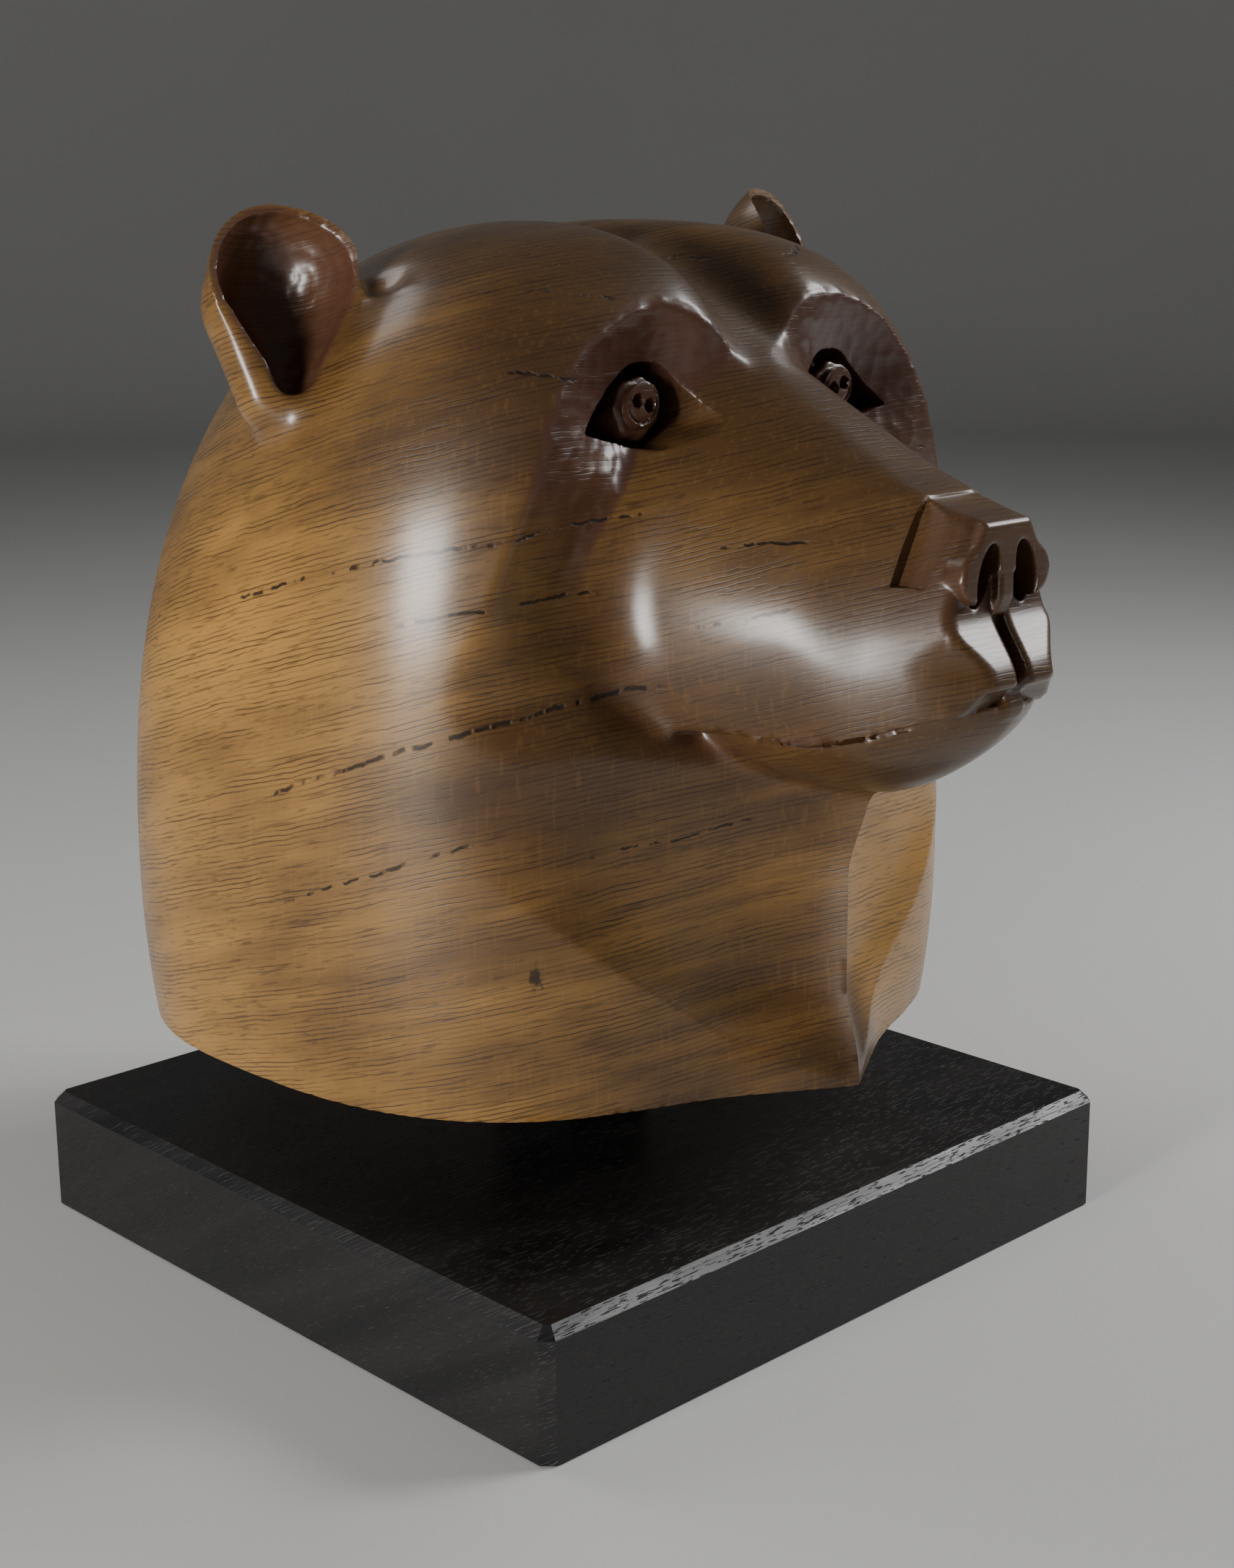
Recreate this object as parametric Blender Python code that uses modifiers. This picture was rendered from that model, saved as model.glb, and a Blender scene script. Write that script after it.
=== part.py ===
"""Carved oak head of a bear, held by a short post over a square dark plinth.

The head is laid out in marks: CROWN_Z of them from its flat underside to its crown. Across is x, the face
looks along -y and z is up from the underside. Its form is worked out from the sizes below as one field,
negative inside the wood, and a blank is cut to it.
"""
from concurrent.futures import ThreadPoolExecutor

import bmesh
import bpy
import numpy as np
from mathutils import Matrix

# Real sizes, metres
PLINTH_SIDE = 0.350
PLINTH_HEIGHT = 0.0566
PLINTH_TOP_CHAMFER = 0.0047
PLINTH_CORNER_CHAMFER = 0.0050
PLINTH_FOOT_CHAMFER = 0.0008
HEAD_LIFT = 0.0504
HEAD_HEIGHT = 0.3492
POST_SIDE = 0.052
POST_CHAMFER = 0.0015
SEAT_GAP = 0.0003

# Skull, in marks: a dome over near-plumb walls, squarer in front than behind, leaning forward as it rises
CROWN_Z = 349.2
WAIST_Z = 66.6
SKULL_HALF_WIDTH = 174.5
SKULL_FRONT = 177.8
SKULL_BACK = 157.4
SKULL_CENTRE_Y = 32.7
SKULL_LEAN = 28.6
SKULL_FOOT_TAPER = 0.0575
PLAN_SQUARENESS_FRONT = 2.734
PLAN_SQUARENESS_BACK = 2.245
DOME_SQUARENESS_FRONT = 3.463
DOME_SQUARENESS_BACK = 2.508

# Furrow between the two brow lobes, running back over the crown
FURROW_DEPTH_CROWN = 4.0
FURROW_DEPTH_BROW = 22.0
FURROW_HALF_CROWN = 15.0
FURROW_HALF_BROW = 21.0

# Prow of the throat and the collar crease that climbs away from its foot
PROW_Y = -169.0
PROW_FOOT_REACH = 7.5
PROW_JAW_REACH = 11.0
PROW_FLARE = 0.62
PROW_TOP_Z = 150.0
CREASE_RISE = 0.45
CREASE_CURVE = 0.002
CREASE_DEPTH = 10.0
CREASE_RUN = 25.0

# Scooped face behind the eyes
FACE_Y = -114.0
FACE_HOLLOW = 10.0
FACE_HOLLOW_HALF_X = 50.6
FACE_HOLLOW_HALF_Z = 40.5
FACE_BROW_REACH = 8.0
FACE_BROW_LEFT_SHARE = 0.15
FACE_CHEEK_FALL = 10.0
FACE_CHIN_REACH = 42.0
RIM_RADIUS = 1.5
RIM_FADE_RADIUS = 17.5

# Eyes: the opening between the lids, and a drooping stalk with a pierced ring
EYE_X = 58.0
EYE_Z = 282.0
EYE_FLOOR_Y = -84.0
EYE_OUTER_LID = 13.0
EYE_INNER_LID = 16.2
EYE_TOP = 13.5
EYE_INNER_REACH = 23.0
IRIS_X = 57.7
IRIS_Z = 280.3
IRIS_Y = -110.5
IRIS_RING_RADIUS = 8.2
IRIS_STALK_RADIUS = 10.6
IRIS_STEP = 3.5
IRIS_DROOP = 0.42
IRIS_TRENCH = 7.5
PUPIL_RADIUS = 2.7
PUPIL_OFFSET = 3.6
PUPIL_DEPTH = 9.0

# Muzzle
BRIDGE_HALF = 17.8
BRIDGE_SLOPE = 0.535
BRIDGE_LEVEL = 289.0
BRIDGE_LEVEL_Y = -137.0
NOSE_SLOPE = 0.225
NOSE_LEVEL = 242.7
NOSE_LEVEL_Y = -243.4
BRIDGE_CROWN = 3.5
BRIDGE_EDGE = 9.0
MUZZLE_HALF_TIP = 33.0
MUZZLE_WIDEST_Z = 192.0
MUZZLE_END_Y = -45.0
MOUTH_Z = 155.0
MOUTH_RISE = 19.0
JAW_CENTRE_Y = -166.0
JAW_HALF_WIDTH = 54.0
JAW_LENGTH = 83.0
JAW_DEPTH = 28.0
JAW_KEEL = 1.5

# Nose, lips and chin
NOSE_FRONT_Y = -244.5
NOSE_ROOT_Y = -234.0
NOSE_FRONT_TOP_HALF = 12.8
NOSE_FLANK_SLOPE = 0.56
WING_RADIUS = 10.3
WING_X = 16.5
WING_Z = 221.0
PAD_BACK_Y = -217.0
PAD_LEDGE_Z = 217.5
PAD_TOP_HALF = 16.3
PAD_SLOPE = 0.516
PAD_STEP = 1.2
PAD_GROOVE = 2.4
NOSTRIL_X = 11.6
NOSTRIL_HALF_WIDTH = 6.0
NOSTRIL_HALF_HEIGHT = 11.6
NOSTRIL_FLOOR_Y = -230.0
SEPTUM_HALF = 4.6
SEPTUM_FOOT_Z = 205.0
LIP_TOP_Y = -240.0
LIP_REACH = 13.5
LIP_CORNER_HALF = 20.0
PHILTRUM_HALF = 3.4
PHILTRUM_FLOOR_Y = -236.0
CHIN_TIP_HALF = 5.0
CHIN_TIP_Y = -249.0
CHIN_TIP_Z = 175.0
CHIN_TIP_HALF_HEIGHT = 7.0

# Ears: a cup whose rim is an egg outline round two circles, brought forward where it meets the brow
EAR_CENTRE = (146.3, 5.3, 324.3)
EAR_TURN = 14.5
EAR_TIP = 20.0
EAR_UPPER_CIRCLE = (-2.7, 5.0, 29.6)
EAR_LOWER_CIRCLE = (-1.0, -32.5, 11.4)
EAR_RIM_THICKNESS = 3.4
EAR_SHELL_DEPTH = 34.0
EAR_CUP_DEPTH = 24.0
EAR_RIM_SWEEP = 11.4
EAR_LEAN_BACK = 0.28
EAR_ROOT_RADIUS = 14.0
EAR_LOBE_TOP = (8.0, -6.0, -13.0)
EAR_LOBE_FOOT = (3.0, -38.0, -13.0)
EAR_LOBE_RADIUS = 17.0
EAR_DENT = 5.0
EAR_DENT_SPOT = (113.0, -20.0, 327.0)
LEFT_EAR_SHIFT = (3.0, 0.0, 3.5)
LEFT_EAR_GROWTH = 0.06

# Making of the mesh
BLANK_CELL = 2.0
BLANK_LOW = (-186.0, -266.0, -10.0)
BLANK_HIGH = (186.0, 202.0, 374.0)
BLANK_COARSE = 3
BLANK_NEAR = 10.0
REMESH_CELL = 0.0021
POINTS_AT_ONCE = 12000
TRIANGLE_BUDGET = 9400

MARK = HEAD_HEIGHT / CROWN_Z
HEAD_BASE_Z = PLINTH_HEIGHT + HEAD_LIFT

OAK = (0.36, 0.19, 0.075)
EBONY = (0.018, 0.016, 0.015)
POST_BLACK = (0.025, 0.022, 0.020)


def ramp(value, start, end):
    """Smooth step from 0 at start to 1 at end."""
    t = np.clip((value - start) / (end - start), 0.0, 1.0)
    return t * t * (3.0 - 2.0 * t)


def joined(a, b, radius):
    """Union of two fields with a fillet."""
    h = np.clip(0.5 + 0.5 * (b - a) / radius, 0.0, 1.0)
    return b + (a - b) * h - radius * h * (1.0 - h)


def common(a, b, radius):
    """Intersection of two fields with a rounded edge."""
    return -joined(-a, -b, radius)


def skull(x, y, z):
    """Dome and walls of the head."""
    rise = np.maximum(z - WAIST_Z, 0.0) / (CROWN_Z - WAIST_Z)
    back = y - SKULL_CENTRE_Y + SKULL_LEAN * np.minimum(rise, 1.1) ** 2
    front_share = ramp(0.5 - back / (np.hypot(x, back) + 1e-6), 0.0, 1.0)
    n = PLAN_SQUARENESS_FRONT * front_share + PLAN_SQUARENESS_BACK * (1.0 - front_share)
    m = DOME_SQUARENESS_FRONT * front_share + DOME_SQUARENESS_BACK * (1.0 - front_share)
    reach = np.where(back < 0.0, SKULL_FRONT, SKULL_BACK)
    foot = 1.0 - SKULL_FOOT_TAPER * (np.minimum(z - WAIST_Z, 0.0) / 100.0) ** 2
    ax = x / SKULL_HALF_WIDTH + 1e-9
    ay = np.abs(back) / reach + 1e-9
    plan = (ax ** n + ay ** n) ** (1.0 / n)
    wall = plan / foot
    dome = (wall ** m + rise ** m) ** (1.0 / m)
    slope_plan = (wall / dome) ** (m - 1.0)
    slope_rise = (rise / dome) ** (m - 1.0) / (CROWN_Z - WAIST_Z)
    slope_x = slope_plan * (ax / plan) ** (n - 1.0) / SKULL_HALF_WIDTH
    slope_y = slope_plan * (ay / plan) ** (n - 1.0) / reach
    slope = np.sqrt(slope_x ** 2 + slope_y ** 2 + slope_rise ** 2)
    return (dome - 1.0) / np.maximum(slope, 1e-4)


def furrow(x, y, z):
    """Depth of the groove between the brow lobes."""
    depth = FURROW_DEPTH_CROWN + (FURROW_DEPTH_BROW - FURROW_DEPTH_CROWN) * ramp(y, 5.0, -95.0)
    half = FURROW_HALF_CROWN + (FURROW_HALF_BROW - FURROW_HALF_CROWN) * ramp(y, 0.0, -90.0)
    return depth * ramp(y, 95.0, 30.0) * ramp(z, 230.0, 290.0) * np.exp(-(x / half) ** 2)


def face_y(x, z, left):
    """The flat scooped face behind both eyes, hollowed at each eye and coming forward to the chin."""
    spread = ((x - EYE_X - 2.0) / FACE_HOLLOW_HALF_X) ** 2 + ((z - EYE_Z + 2.0) / FACE_HOLLOW_HALF_Z) ** 2
    hollow = FACE_HOLLOW * np.maximum(1.0 - spread, 0.0) ** 2
    brow = FACE_BROW_REACH * (1.0 - (1.0 - FACE_BROW_LEFT_SHARE) * left) * ramp(x, 58.0, 30.0)
    cheek = FACE_CHEEK_FALL * ramp(z, 262.0, 190.0)
    chin = FACE_CHIN_REACH * ramp(z, 222.0, 100.0) * (0.25 + 0.75 * ramp(x, 140.0, 95.0))
    return FACE_Y + hollow - brow + cheek - chin


def prow(x, y, z):
    """Keel down the middle of the throat: plumb, and forward at the foot and under the jaw."""
    edge = PROW_Y - PROW_FOOT_REACH * ramp(z, 45.0, 5.0) - PROW_JAW_REACH * ramp(z, 88.0, 130.0)
    flank = (edge + PROW_FLARE * x - y) / np.hypot(1.0, PROW_FLARE)
    flank = common(common(flank, z - PROW_TOP_Z, 10.0), x - 85.0, 10.0)
    return common(flank, y + 80.0, 10.0)


def collar(x, y, z):
    """Depth of the flats between the prow and the crease that climbs away from its foot."""
    above = np.maximum(z - 0.7 - CREASE_RISE * x - CREASE_CURVE * x * x, 0.0)
    depth = CREASE_DEPTH * (1.0 - np.exp(-above / CREASE_RUN)) * (1.0 - np.exp(-x / 6.0))
    return depth * (1.0 - ramp(x, 80.0, 160.0)) * ramp(z, 190.0, 120.0) * ramp(y, 0.0, -60.0)


def bridge_z(y):
    """Middle line of the bridge: a straight slope, flatter over the nose."""
    slope = BRIDGE_LEVEL + BRIDGE_SLOPE * (y - BRIDGE_LEVEL_Y)
    return common(slope, NOSE_LEVEL + NOSE_SLOPE * (y - NOSE_LEVEL_Y), 8.0)


def mouth_z(y):
    """Line where the lips meet."""
    return MOUTH_Z + MOUTH_RISE * ramp(y, -185.0, -268.0)


def lip_front(z):
    """Front of the lip blocks, leaning forward to their feet."""
    return LIP_TOP_Y - LIP_REACH * ramp(z, 211.0, 181.0)


def muzzle_block(x, y, z):
    """Bridge, flanks and front of the upper muzzle before the nose is cut."""
    toward_nose = ramp(y, -180.0, -214.0)
    half_top = BRIDGE_HALF - 3.8 * ramp(y, -205.0, -244.0) - 3.0 * ramp(y, -110.0, -60.0)
    middle = bridge_z(y)
    dome = BRIDGE_CROWN - 3.0 * ramp(y, -120.0, -205.0)
    top = (z - middle + dome * (x / half_top) ** 2) * 0.88
    run = np.clip(y + 240.0, 0.0, 190.0)
    half_widest = MUZZLE_HALF_TIP + 0.5 * run - 0.0011 * run * run
    widest_z = MUZZLE_WIDEST_Z - 14.0 * toward_nose
    fall = np.clip((middle - z) / (middle - widest_z), 0.0, 1.3)
    swell = np.where(fall < 1.0, 1.0 - (1.0 - fall) ** 2, 1.0)
    half = half_top + (half_widest - half_top) * swell - 5.0 * (np.maximum(widest_z - z, 0.0) / 30.0) ** 2
    block = common(top, (x - half) * 0.85, BRIDGE_EDGE - 5.0 * toward_nose)
    block = common(block, lip_front(z) - y, 4.0)
    corner = 0.73 * (x - LIP_CORNER_HALF) - 0.68 * (y - lip_front(z) - 1.5)
    return common(block, corner - 14.0 * ramp(z, 184.0, 214.0), 3.0)


def nose_pad(x, y, z):
    """Flat top and slanted sides of the squared nose, with a groove ahead of each wing."""
    top = (z - bridge_z(y) + PAD_STEP) * 0.97
    side = (x - PAD_TOP_HALF - PAD_SLOPE * (245.0 - z)) * 0.889
    groove = PAD_GROOVE * np.exp(-((y + 238.0) / 1.9) ** 2) * ramp(z, 241.0, 236.0)
    return common(top, side + groove, 1.0)


def nose_front(x, y, z):
    """Front of the nose: straight flanks over a round wing at each foot, and the bar between the nostrils."""
    flank = (x - NOSE_FRONT_TOP_HALF - NOSE_FLANK_SLOPE * (243.0 - z)) / np.hypot(1.0, NOSE_FLANK_SLOPE)
    flank = common(common(flank, WING_Z - z, 1.0), z - bridge_z(y) + PAD_STEP, 1.0)
    wing = np.hypot(x - WING_X, z - WING_Z) - WING_RADIUS
    bar = common(common(x - SEPTUM_HALF, SEPTUM_FOOT_Z - z, 2.0), z - 225.0, 1.0)
    outline = joined(joined(flank, wing, 3.0), bar, 1.5)
    outline = common(outline, NOSE_FRONT_Y + 3.0 * ramp(z, 214.0, 204.0) - y, 2.2)
    return common(outline, y - NOSE_ROOT_Y, 1.0)


def nostril(x, y, z):
    """One nostril: a tall oval leaning outward to its foot."""
    v = z - WING_Z
    u = x - NOSTRIL_X + 0.22 * v
    hole = (np.hypot(u / NOSTRIL_HALF_WIDTH, v / NOSTRIL_HALF_HEIGHT) - 1.0) * NOSTRIL_HALF_WIDTH
    return common(hole, y - NOSTRIL_FLOOR_Y, 2.0)


def jaw(x, y, z):
    """Lower jaw with its small squared tip."""
    lip = mouth_z(y)
    jx = np.abs(x) / JAW_HALF_WIDTH + 1e-4
    jz = np.abs(z - lip) / JAW_DEPTH + 1e-4
    jy = (y - JAW_CENTRE_Y) / JAW_LENGTH
    section = (jx ** JAW_KEEL + jz ** JAW_KEEL) ** (1.0 / JAW_KEEL)
    size = np.hypot(section, jy) + 1e-6
    slope_x = (jx / section) ** (JAW_KEEL - 1.0) / JAW_HALF_WIDTH
    slope_z = (jz / section) ** (JAW_KEEL - 1.0) / JAW_DEPTH
    slope = np.hypot(np.hypot(slope_x, slope_z) * section / size, jy / size / JAW_LENGTH) + 1e-5
    body = common((size - 1.0) / slope, z - lip - 1.5, 1.5)
    tip = common(x - CHIN_TIP_HALF, CHIN_TIP_Y - y, 2.0)
    tip = common(tip, np.abs(z - CHIN_TIP_Z) - CHIN_TIP_HALF_HEIGHT, 2.0)
    tip = common(tip, y + 232.0, 1.0)
    return joined(body, tip, 3.0)


def muzzle(x, y, z):
    """Whole muzzle with its nose, nostrils, cleft lip, mouth line and jaw."""
    upper = muzzle_block(x, y, z)
    let_in = common(y - PAD_BACK_Y, PAD_LEDGE_Z - z, 0.6)
    upper = common(upper, -common(let_in, -nose_pad(x, y, z), 0.6), 0.6)
    philtrum = common(common(x - PHILTRUM_HALF, y - PHILTRUM_FLOOR_Y, 3.0), z - 212.0, 3.0)
    upper = common(upper, -philtrum, 3.0)
    upper = joined(upper, nose_front(x, y, z), 1.0)
    upper = common(upper, -nostril(x, y, z), 0.8)
    upper = common(upper, mouth_z(y) + 7.5 * ramp(y, -242.0, -251.0) - z, 2.2)
    upper = common(upper, y - MUZZLE_END_Y, 10.0)
    return joined(upper, jaw(x, y, z), 0.8)


def eye_opening(x, z):
    """Outline between the lids: a rounded triangle with a sagging lower edge."""
    u = x - EYE_X
    v = z - EYE_Z
    lower = common(-(v + 19.5 - 0.26 * u) * 0.97, -(v + 24.0 + 0.62 * u) * 0.85, 4.0)
    outer = 0.685 * u + 0.728 * v - EYE_OUTER_LID
    inner = -0.766 * u + 0.643 * v - EYE_INNER_LID
    upper = common(common(outer, inner, 6.0), v - EYE_TOP, 4.0)
    return common(common(upper, lower, 1.5), -u - EYE_INNER_REACH, 4.0)


def iris(x, y, z):
    """Drooping stalk, stepped in to a ring that is pierced by two holes."""
    back = y - IRIS_Y
    u = x - IRIS_X
    v = z - IRIS_Z + IRIS_DROOP * back
    rho = np.hypot(u, v)
    stalk = common(rho - IRIS_STALK_RADIUS - 0.10 * back, IRIS_STEP - back, 2.5)
    ring = common(rho - IRIS_RING_RADIUS, -back, 1.0)
    trench = common(np.abs(rho - IRIS_RING_RADIUS - 0.8) - 0.8, back - IRIS_TRENCH, 0.6)
    eye = common(joined(stalk, ring, 0.5), -trench, 0.6)
    holes = np.hypot(np.abs(u + 0.35 * v) - PUPIL_OFFSET, v - 0.35 * u) - PUPIL_RADIUS
    holes = common(holes, back - PUPIL_DEPTH, 0.8)
    return common(common(eye, -holes, 0.7), y - EYE_FLOOR_Y - 6.0, 1.0)


def egg_outline(u, v, shrink):
    """Distance to the ear's outline: two circles of unlike size and the tangents between them."""
    u1, v1, r1 = EAR_UPPER_CIRCLE
    u2, v2, r2 = EAR_LOWER_CIRCLE
    length = np.hypot(u2 - u1, v2 - v1)
    ex = (u2 - u1) / length
    ey = (v2 - v1) / length
    along = (u - u1) * ex + (v - v1) * ey
    across = np.hypot((u - u1) * ey - (v - v1) * ex, 3.0)
    sine = (r1 - r2) / length
    cosine = np.sqrt(1.0 - sine * sine)
    reach = along * cosine - across * sine
    flank = across * cosine + along * sine - r1
    round_end = np.where(reach < 0.0, np.hypot(along, across) - r1, np.hypot(along - length, across) - r2)
    return np.where((reach >= 0.0) & (reach <= cosine * length), flank, round_end) + shrink


def ear_axes():
    """Directions of the ear's rim: across, up and out of the cup."""
    turn = np.radians(EAR_TURN)
    tip = np.radians(EAR_TIP)
    out = np.array([np.sin(turn) * np.cos(tip), -np.cos(turn) * np.cos(tip), np.sin(tip)])
    up = np.array([0.0, 0.0, 1.0]) - out * out[2]
    up = up / np.linalg.norm(up)
    return np.cross(up, out), up, out


def ear_lobe(u, v, w):
    """Full flesh of the ear's outer foot, a rounded bar running down behind the rim."""
    top = np.array(EAR_LOBE_TOP)
    run = np.array(EAR_LOBE_FOOT) - top
    offset = [u - top[0], v - top[1], w - top[2]]
    share = np.clip(sum(o * r for o, r in zip(offset, run)) / (run ** 2).sum(), 0.0, 1.0)
    return np.sqrt(sum((o - share * r) ** 2 for o, r in zip(offset, run))) - EAR_LOBE_RADIUS + share


def ears(x, y, z, left):
    """Shell and cup of an ear, and how softly the cup's edge runs out; left is 1 on the head's left."""
    offset = [v - c - s * left for v, c, s in zip((x, y, z), EAR_CENTRE, LEFT_EAR_SHIFT)]
    size = 1.0 + LEFT_EAR_GROWTH * left
    u, v, w = (sum(d * a for d, a in zip(offset, axis)) / size for axis in ear_axes())
    w = w - EAR_RIM_SWEEP * (np.maximum(-u - 4.0, 0.0) / 26.0) ** 2
    back = np.maximum(-w, 0.0)
    radius = EAR_UPPER_CIRCLE[2]
    shell = egg_outline(u, v + EAR_LEAN_BACK * back, 0.0)
    shell = np.hypot(np.maximum(shell + radius, 0.0), back * radius / EAR_SHELL_DEPTH) - radius
    shell = joined(common(shell * 0.85, w, 0.8), ear_lobe(u, v, w), 10.0)
    shell = common(shell, w, 0.8 + 5.0 * ramp(v, 0.0, -30.0))
    inner = radius - EAR_RIM_THICKNESS
    cup = egg_outline(u, v + EAR_LEAN_BACK * back, EAR_RIM_THICKNESS)
    cup = np.hypot(np.maximum(cup + inner, 0.0), back * inner / EAR_CUP_DEPTH) - inner
    cup = common(cup * 0.85, w - 22.0, 6.0)
    du = u - EAR_UPPER_CIRCLE[0]
    dv = v + 8.0
    softness = ramp(-(0.62 * du + 0.78 * dv) / (np.hypot(du, dv) + 1.0), 0.25, 0.9)
    return shell, cup, 0.8 + 10.0 * softness


def head_form(points):
    """Field of the whole head at points given in marks."""
    x = np.abs(points[:, 0])
    y = points[:, 1]
    z = points[:, 2]
    left = ramp(points[:, 0], -20.0, 20.0)
    body = skull(x, y, z) + furrow(x, y, z)
    behind = (face_y(x, z, left) - y) * 0.95 - 80.0 * ramp(z, 170.0, 85.0)
    rim = RIM_RADIUS + (RIM_FADE_RADIUS - RIM_RADIUS) * ramp(z, 218.0, 165.0)
    body = common(body, behind, rim)
    body = joined(body, prow(x, y, z), 12.0) + collar(x, y, z)
    shell, cup, run_out = ears(x, y, z, left)
    body = joined(body, shell, EAR_ROOT_RADIUS)
    to_dent = sum((a - b) ** 2 for a, b in zip((x, y, z), EAR_DENT_SPOT))
    body = body + EAR_DENT * np.exp(-to_dent / 90.0)
    body = common(body, -cup, run_out)
    snout = muzzle(x, y, z)
    blend = 8.0 + 18.0 * ramp(z, 150.0, 190.0) - 12.0 * ramp(z, 235.0, 275.0)
    body = joined(body, snout, blend)
    trimmed = common(body, joined(behind, snout, 10.0 + 14.0 * ramp(z, 275.0, 235.0)), RIM_RADIUS)
    body = trimmed + (body - trimmed) * ramp(z, 242.0, 178.0)
    socket = common(eye_opening(x, z), y - EYE_FLOOR_Y, 1.0)
    body = common(body, -socket, 0.8)
    body = joined(body, iris(x, y, z), 1.0)
    return common(body, -z, 0.8)


def form_at(points):
    """The head's field at many points, a batch to each core."""
    batches = np.array_split(points, max(1, len(points) // POINTS_AT_ONCE))
    with ThreadPoolExecutor(4) as pool:
        return np.concatenate(list(pool.map(head_form, batches)))


def form_slope(points, step=0.3):
    """Gradient of the form, from four points set about each place like the corners of a tetrahedron."""
    slope = np.zeros_like(points)
    for corner in ((1.0, -1.0, -1.0), (-1.0, -1.0, 1.0), (-1.0, 1.0, -1.0), (1.0, 1.0, 1.0)):
        toward = np.array(corner)
        slope += toward * form_at(points + toward * step)[:, None] / (4.0 * step)
    return slope


def onto_form(points, rounds, reach=3.0):
    """Moves points onto the surface of the form by short steps, and returns the outward normals there."""
    points = points.copy()
    for _ in range(rounds):
        slope = form_slope(points)
        square = np.maximum((slope ** 2).sum(axis=1), 0.04)
        step = np.clip(form_at(points), -reach, reach) / square
        points -= slope * step[:, None]
    slope = form_slope(points)
    return points, slope / np.maximum(np.linalg.norm(slope, axis=1), 1e-6)[:, None]


def fresh_collection(name):
    """A new collection under the scene's own."""
    collection = bpy.data.collections.new(name)
    bpy.context.scene.collection.children.link(collection)
    return collection


def new_object(name, mesh, collection):
    """An object at the origin holding the mesh."""
    obj = bpy.data.objects.new(name, mesh)
    collection.objects.link(obj)
    return obj


def dressed(obj, color, roughness):
    """Gives the object its own material."""
    material = bpy.data.materials.new(obj.name)
    material.use_nodes = True
    shader = material.node_tree.nodes["Principled BSDF"]
    shader.inputs["Base Color"].default_value = (*color, 1.0)
    shader.inputs["Roughness"].default_value = roughness
    shader.inputs["Metallic"].default_value = 0.0
    obj.data.materials.append(material)


def modified(obj, kind, **settings):
    """Adds one modifier with its settings and applies it."""
    modifier = obj.modifiers.new(kind.title(), kind)
    for key, value in settings.items():
        setattr(modifier, key, value)
    bpy.context.view_layer.update()
    shaped = bpy.data.meshes.new_from_object(obj.evaluated_get(bpy.context.evaluated_depsgraph_get()))
    obj.modifiers.clear()
    old = obj.data
    obj.data = shaped
    bpy.data.meshes.remove(old)


def solid_cells(low):
    """Tells which cells of the blank are wood, looking closely only near the surface."""
    coarse = BLANK_CELL * BLANK_COARSE
    count = np.round((np.array(BLANK_HIGH) - low) / coarse).astype(int)
    centres = [low[k] + (np.arange(count[k]) + 0.5) * coarse for k in range(3)]
    grid = np.stack(np.meshgrid(*centres, indexing="ij"), axis=-1)
    field = form_at(grid.reshape(-1, 3)).reshape(count)
    for axis in range(3):
        field = np.repeat(field, BLANK_COARSE, axis=axis)
    solid = field < 0.0
    near = np.abs(field) < BLANK_NEAR
    solid[near] = form_at(low + (np.argwhere(near) + 0.5) * BLANK_CELL) < 0.0
    return solid


def blank_columns():
    """Upright blocks of wood standing wherever the form is solid, one or more to each cell of the plan."""
    low = np.array(BLANK_LOW)
    solid = solid_cells(low)
    count = solid.shape
    centres = [low[k] + (np.arange(count[k]) + 0.5) * BLANK_CELL for k in range(3)]
    mesh = bmesh.new()
    for i in range(count[0]):
        slab = bmesh.new()
        for j in range(count[1]):
            column = np.concatenate(([0], solid[i, j].astype(int), [0]))
            starts = np.flatnonzero(np.diff(column) == 1)
            ends = np.flatnonzero(np.diff(column) == -1)
            for start, end in zip(starts, ends):
                place = (centres[0][i], centres[1][j], low[2] + 0.5 * (start + end) * BLANK_CELL)
                size = (BLANK_CELL * 1.02, BLANK_CELL * 1.02, (end - start) * BLANK_CELL)
                matrix = Matrix.Translation(place) @ Matrix.Diagonal((*size, 1.0))
                bmesh.ops.create_cube(slab, size=1.0, matrix=matrix)
        piece = bpy.data.meshes.new("slab")
        slab.to_mesh(piece)
        slab.free()
        mesh.from_mesh(piece)
        bpy.data.meshes.remove(piece)
    bmesh.ops.scale(mesh, vec=(MARK, MARK, MARK), verts=mesh.verts)
    bmesh.ops.translate(mesh, vec=(0.0, 0.0, HEAD_BASE_Z), verts=mesh.verts)
    data = bpy.data.meshes.new("bear_head")
    mesh.to_mesh(data)
    mesh.free()
    return data


def vertex_places(data):
    """Vertex positions of a mesh in the head's marks."""
    flat = np.empty(len(data.vertices) * 3)
    data.vertices.foreach_get("co", flat)
    places = flat.reshape(-1, 3)
    return (places - np.array([0.0, 0.0, HEAD_BASE_Z])) / MARK


def move_vertices(data, places):
    """Writes positions given in marks back to a mesh."""
    data.vertices.foreach_set("co", (places * MARK + np.array([0.0, 0.0, HEAD_BASE_Z])).ravel())
    data.update()


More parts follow.
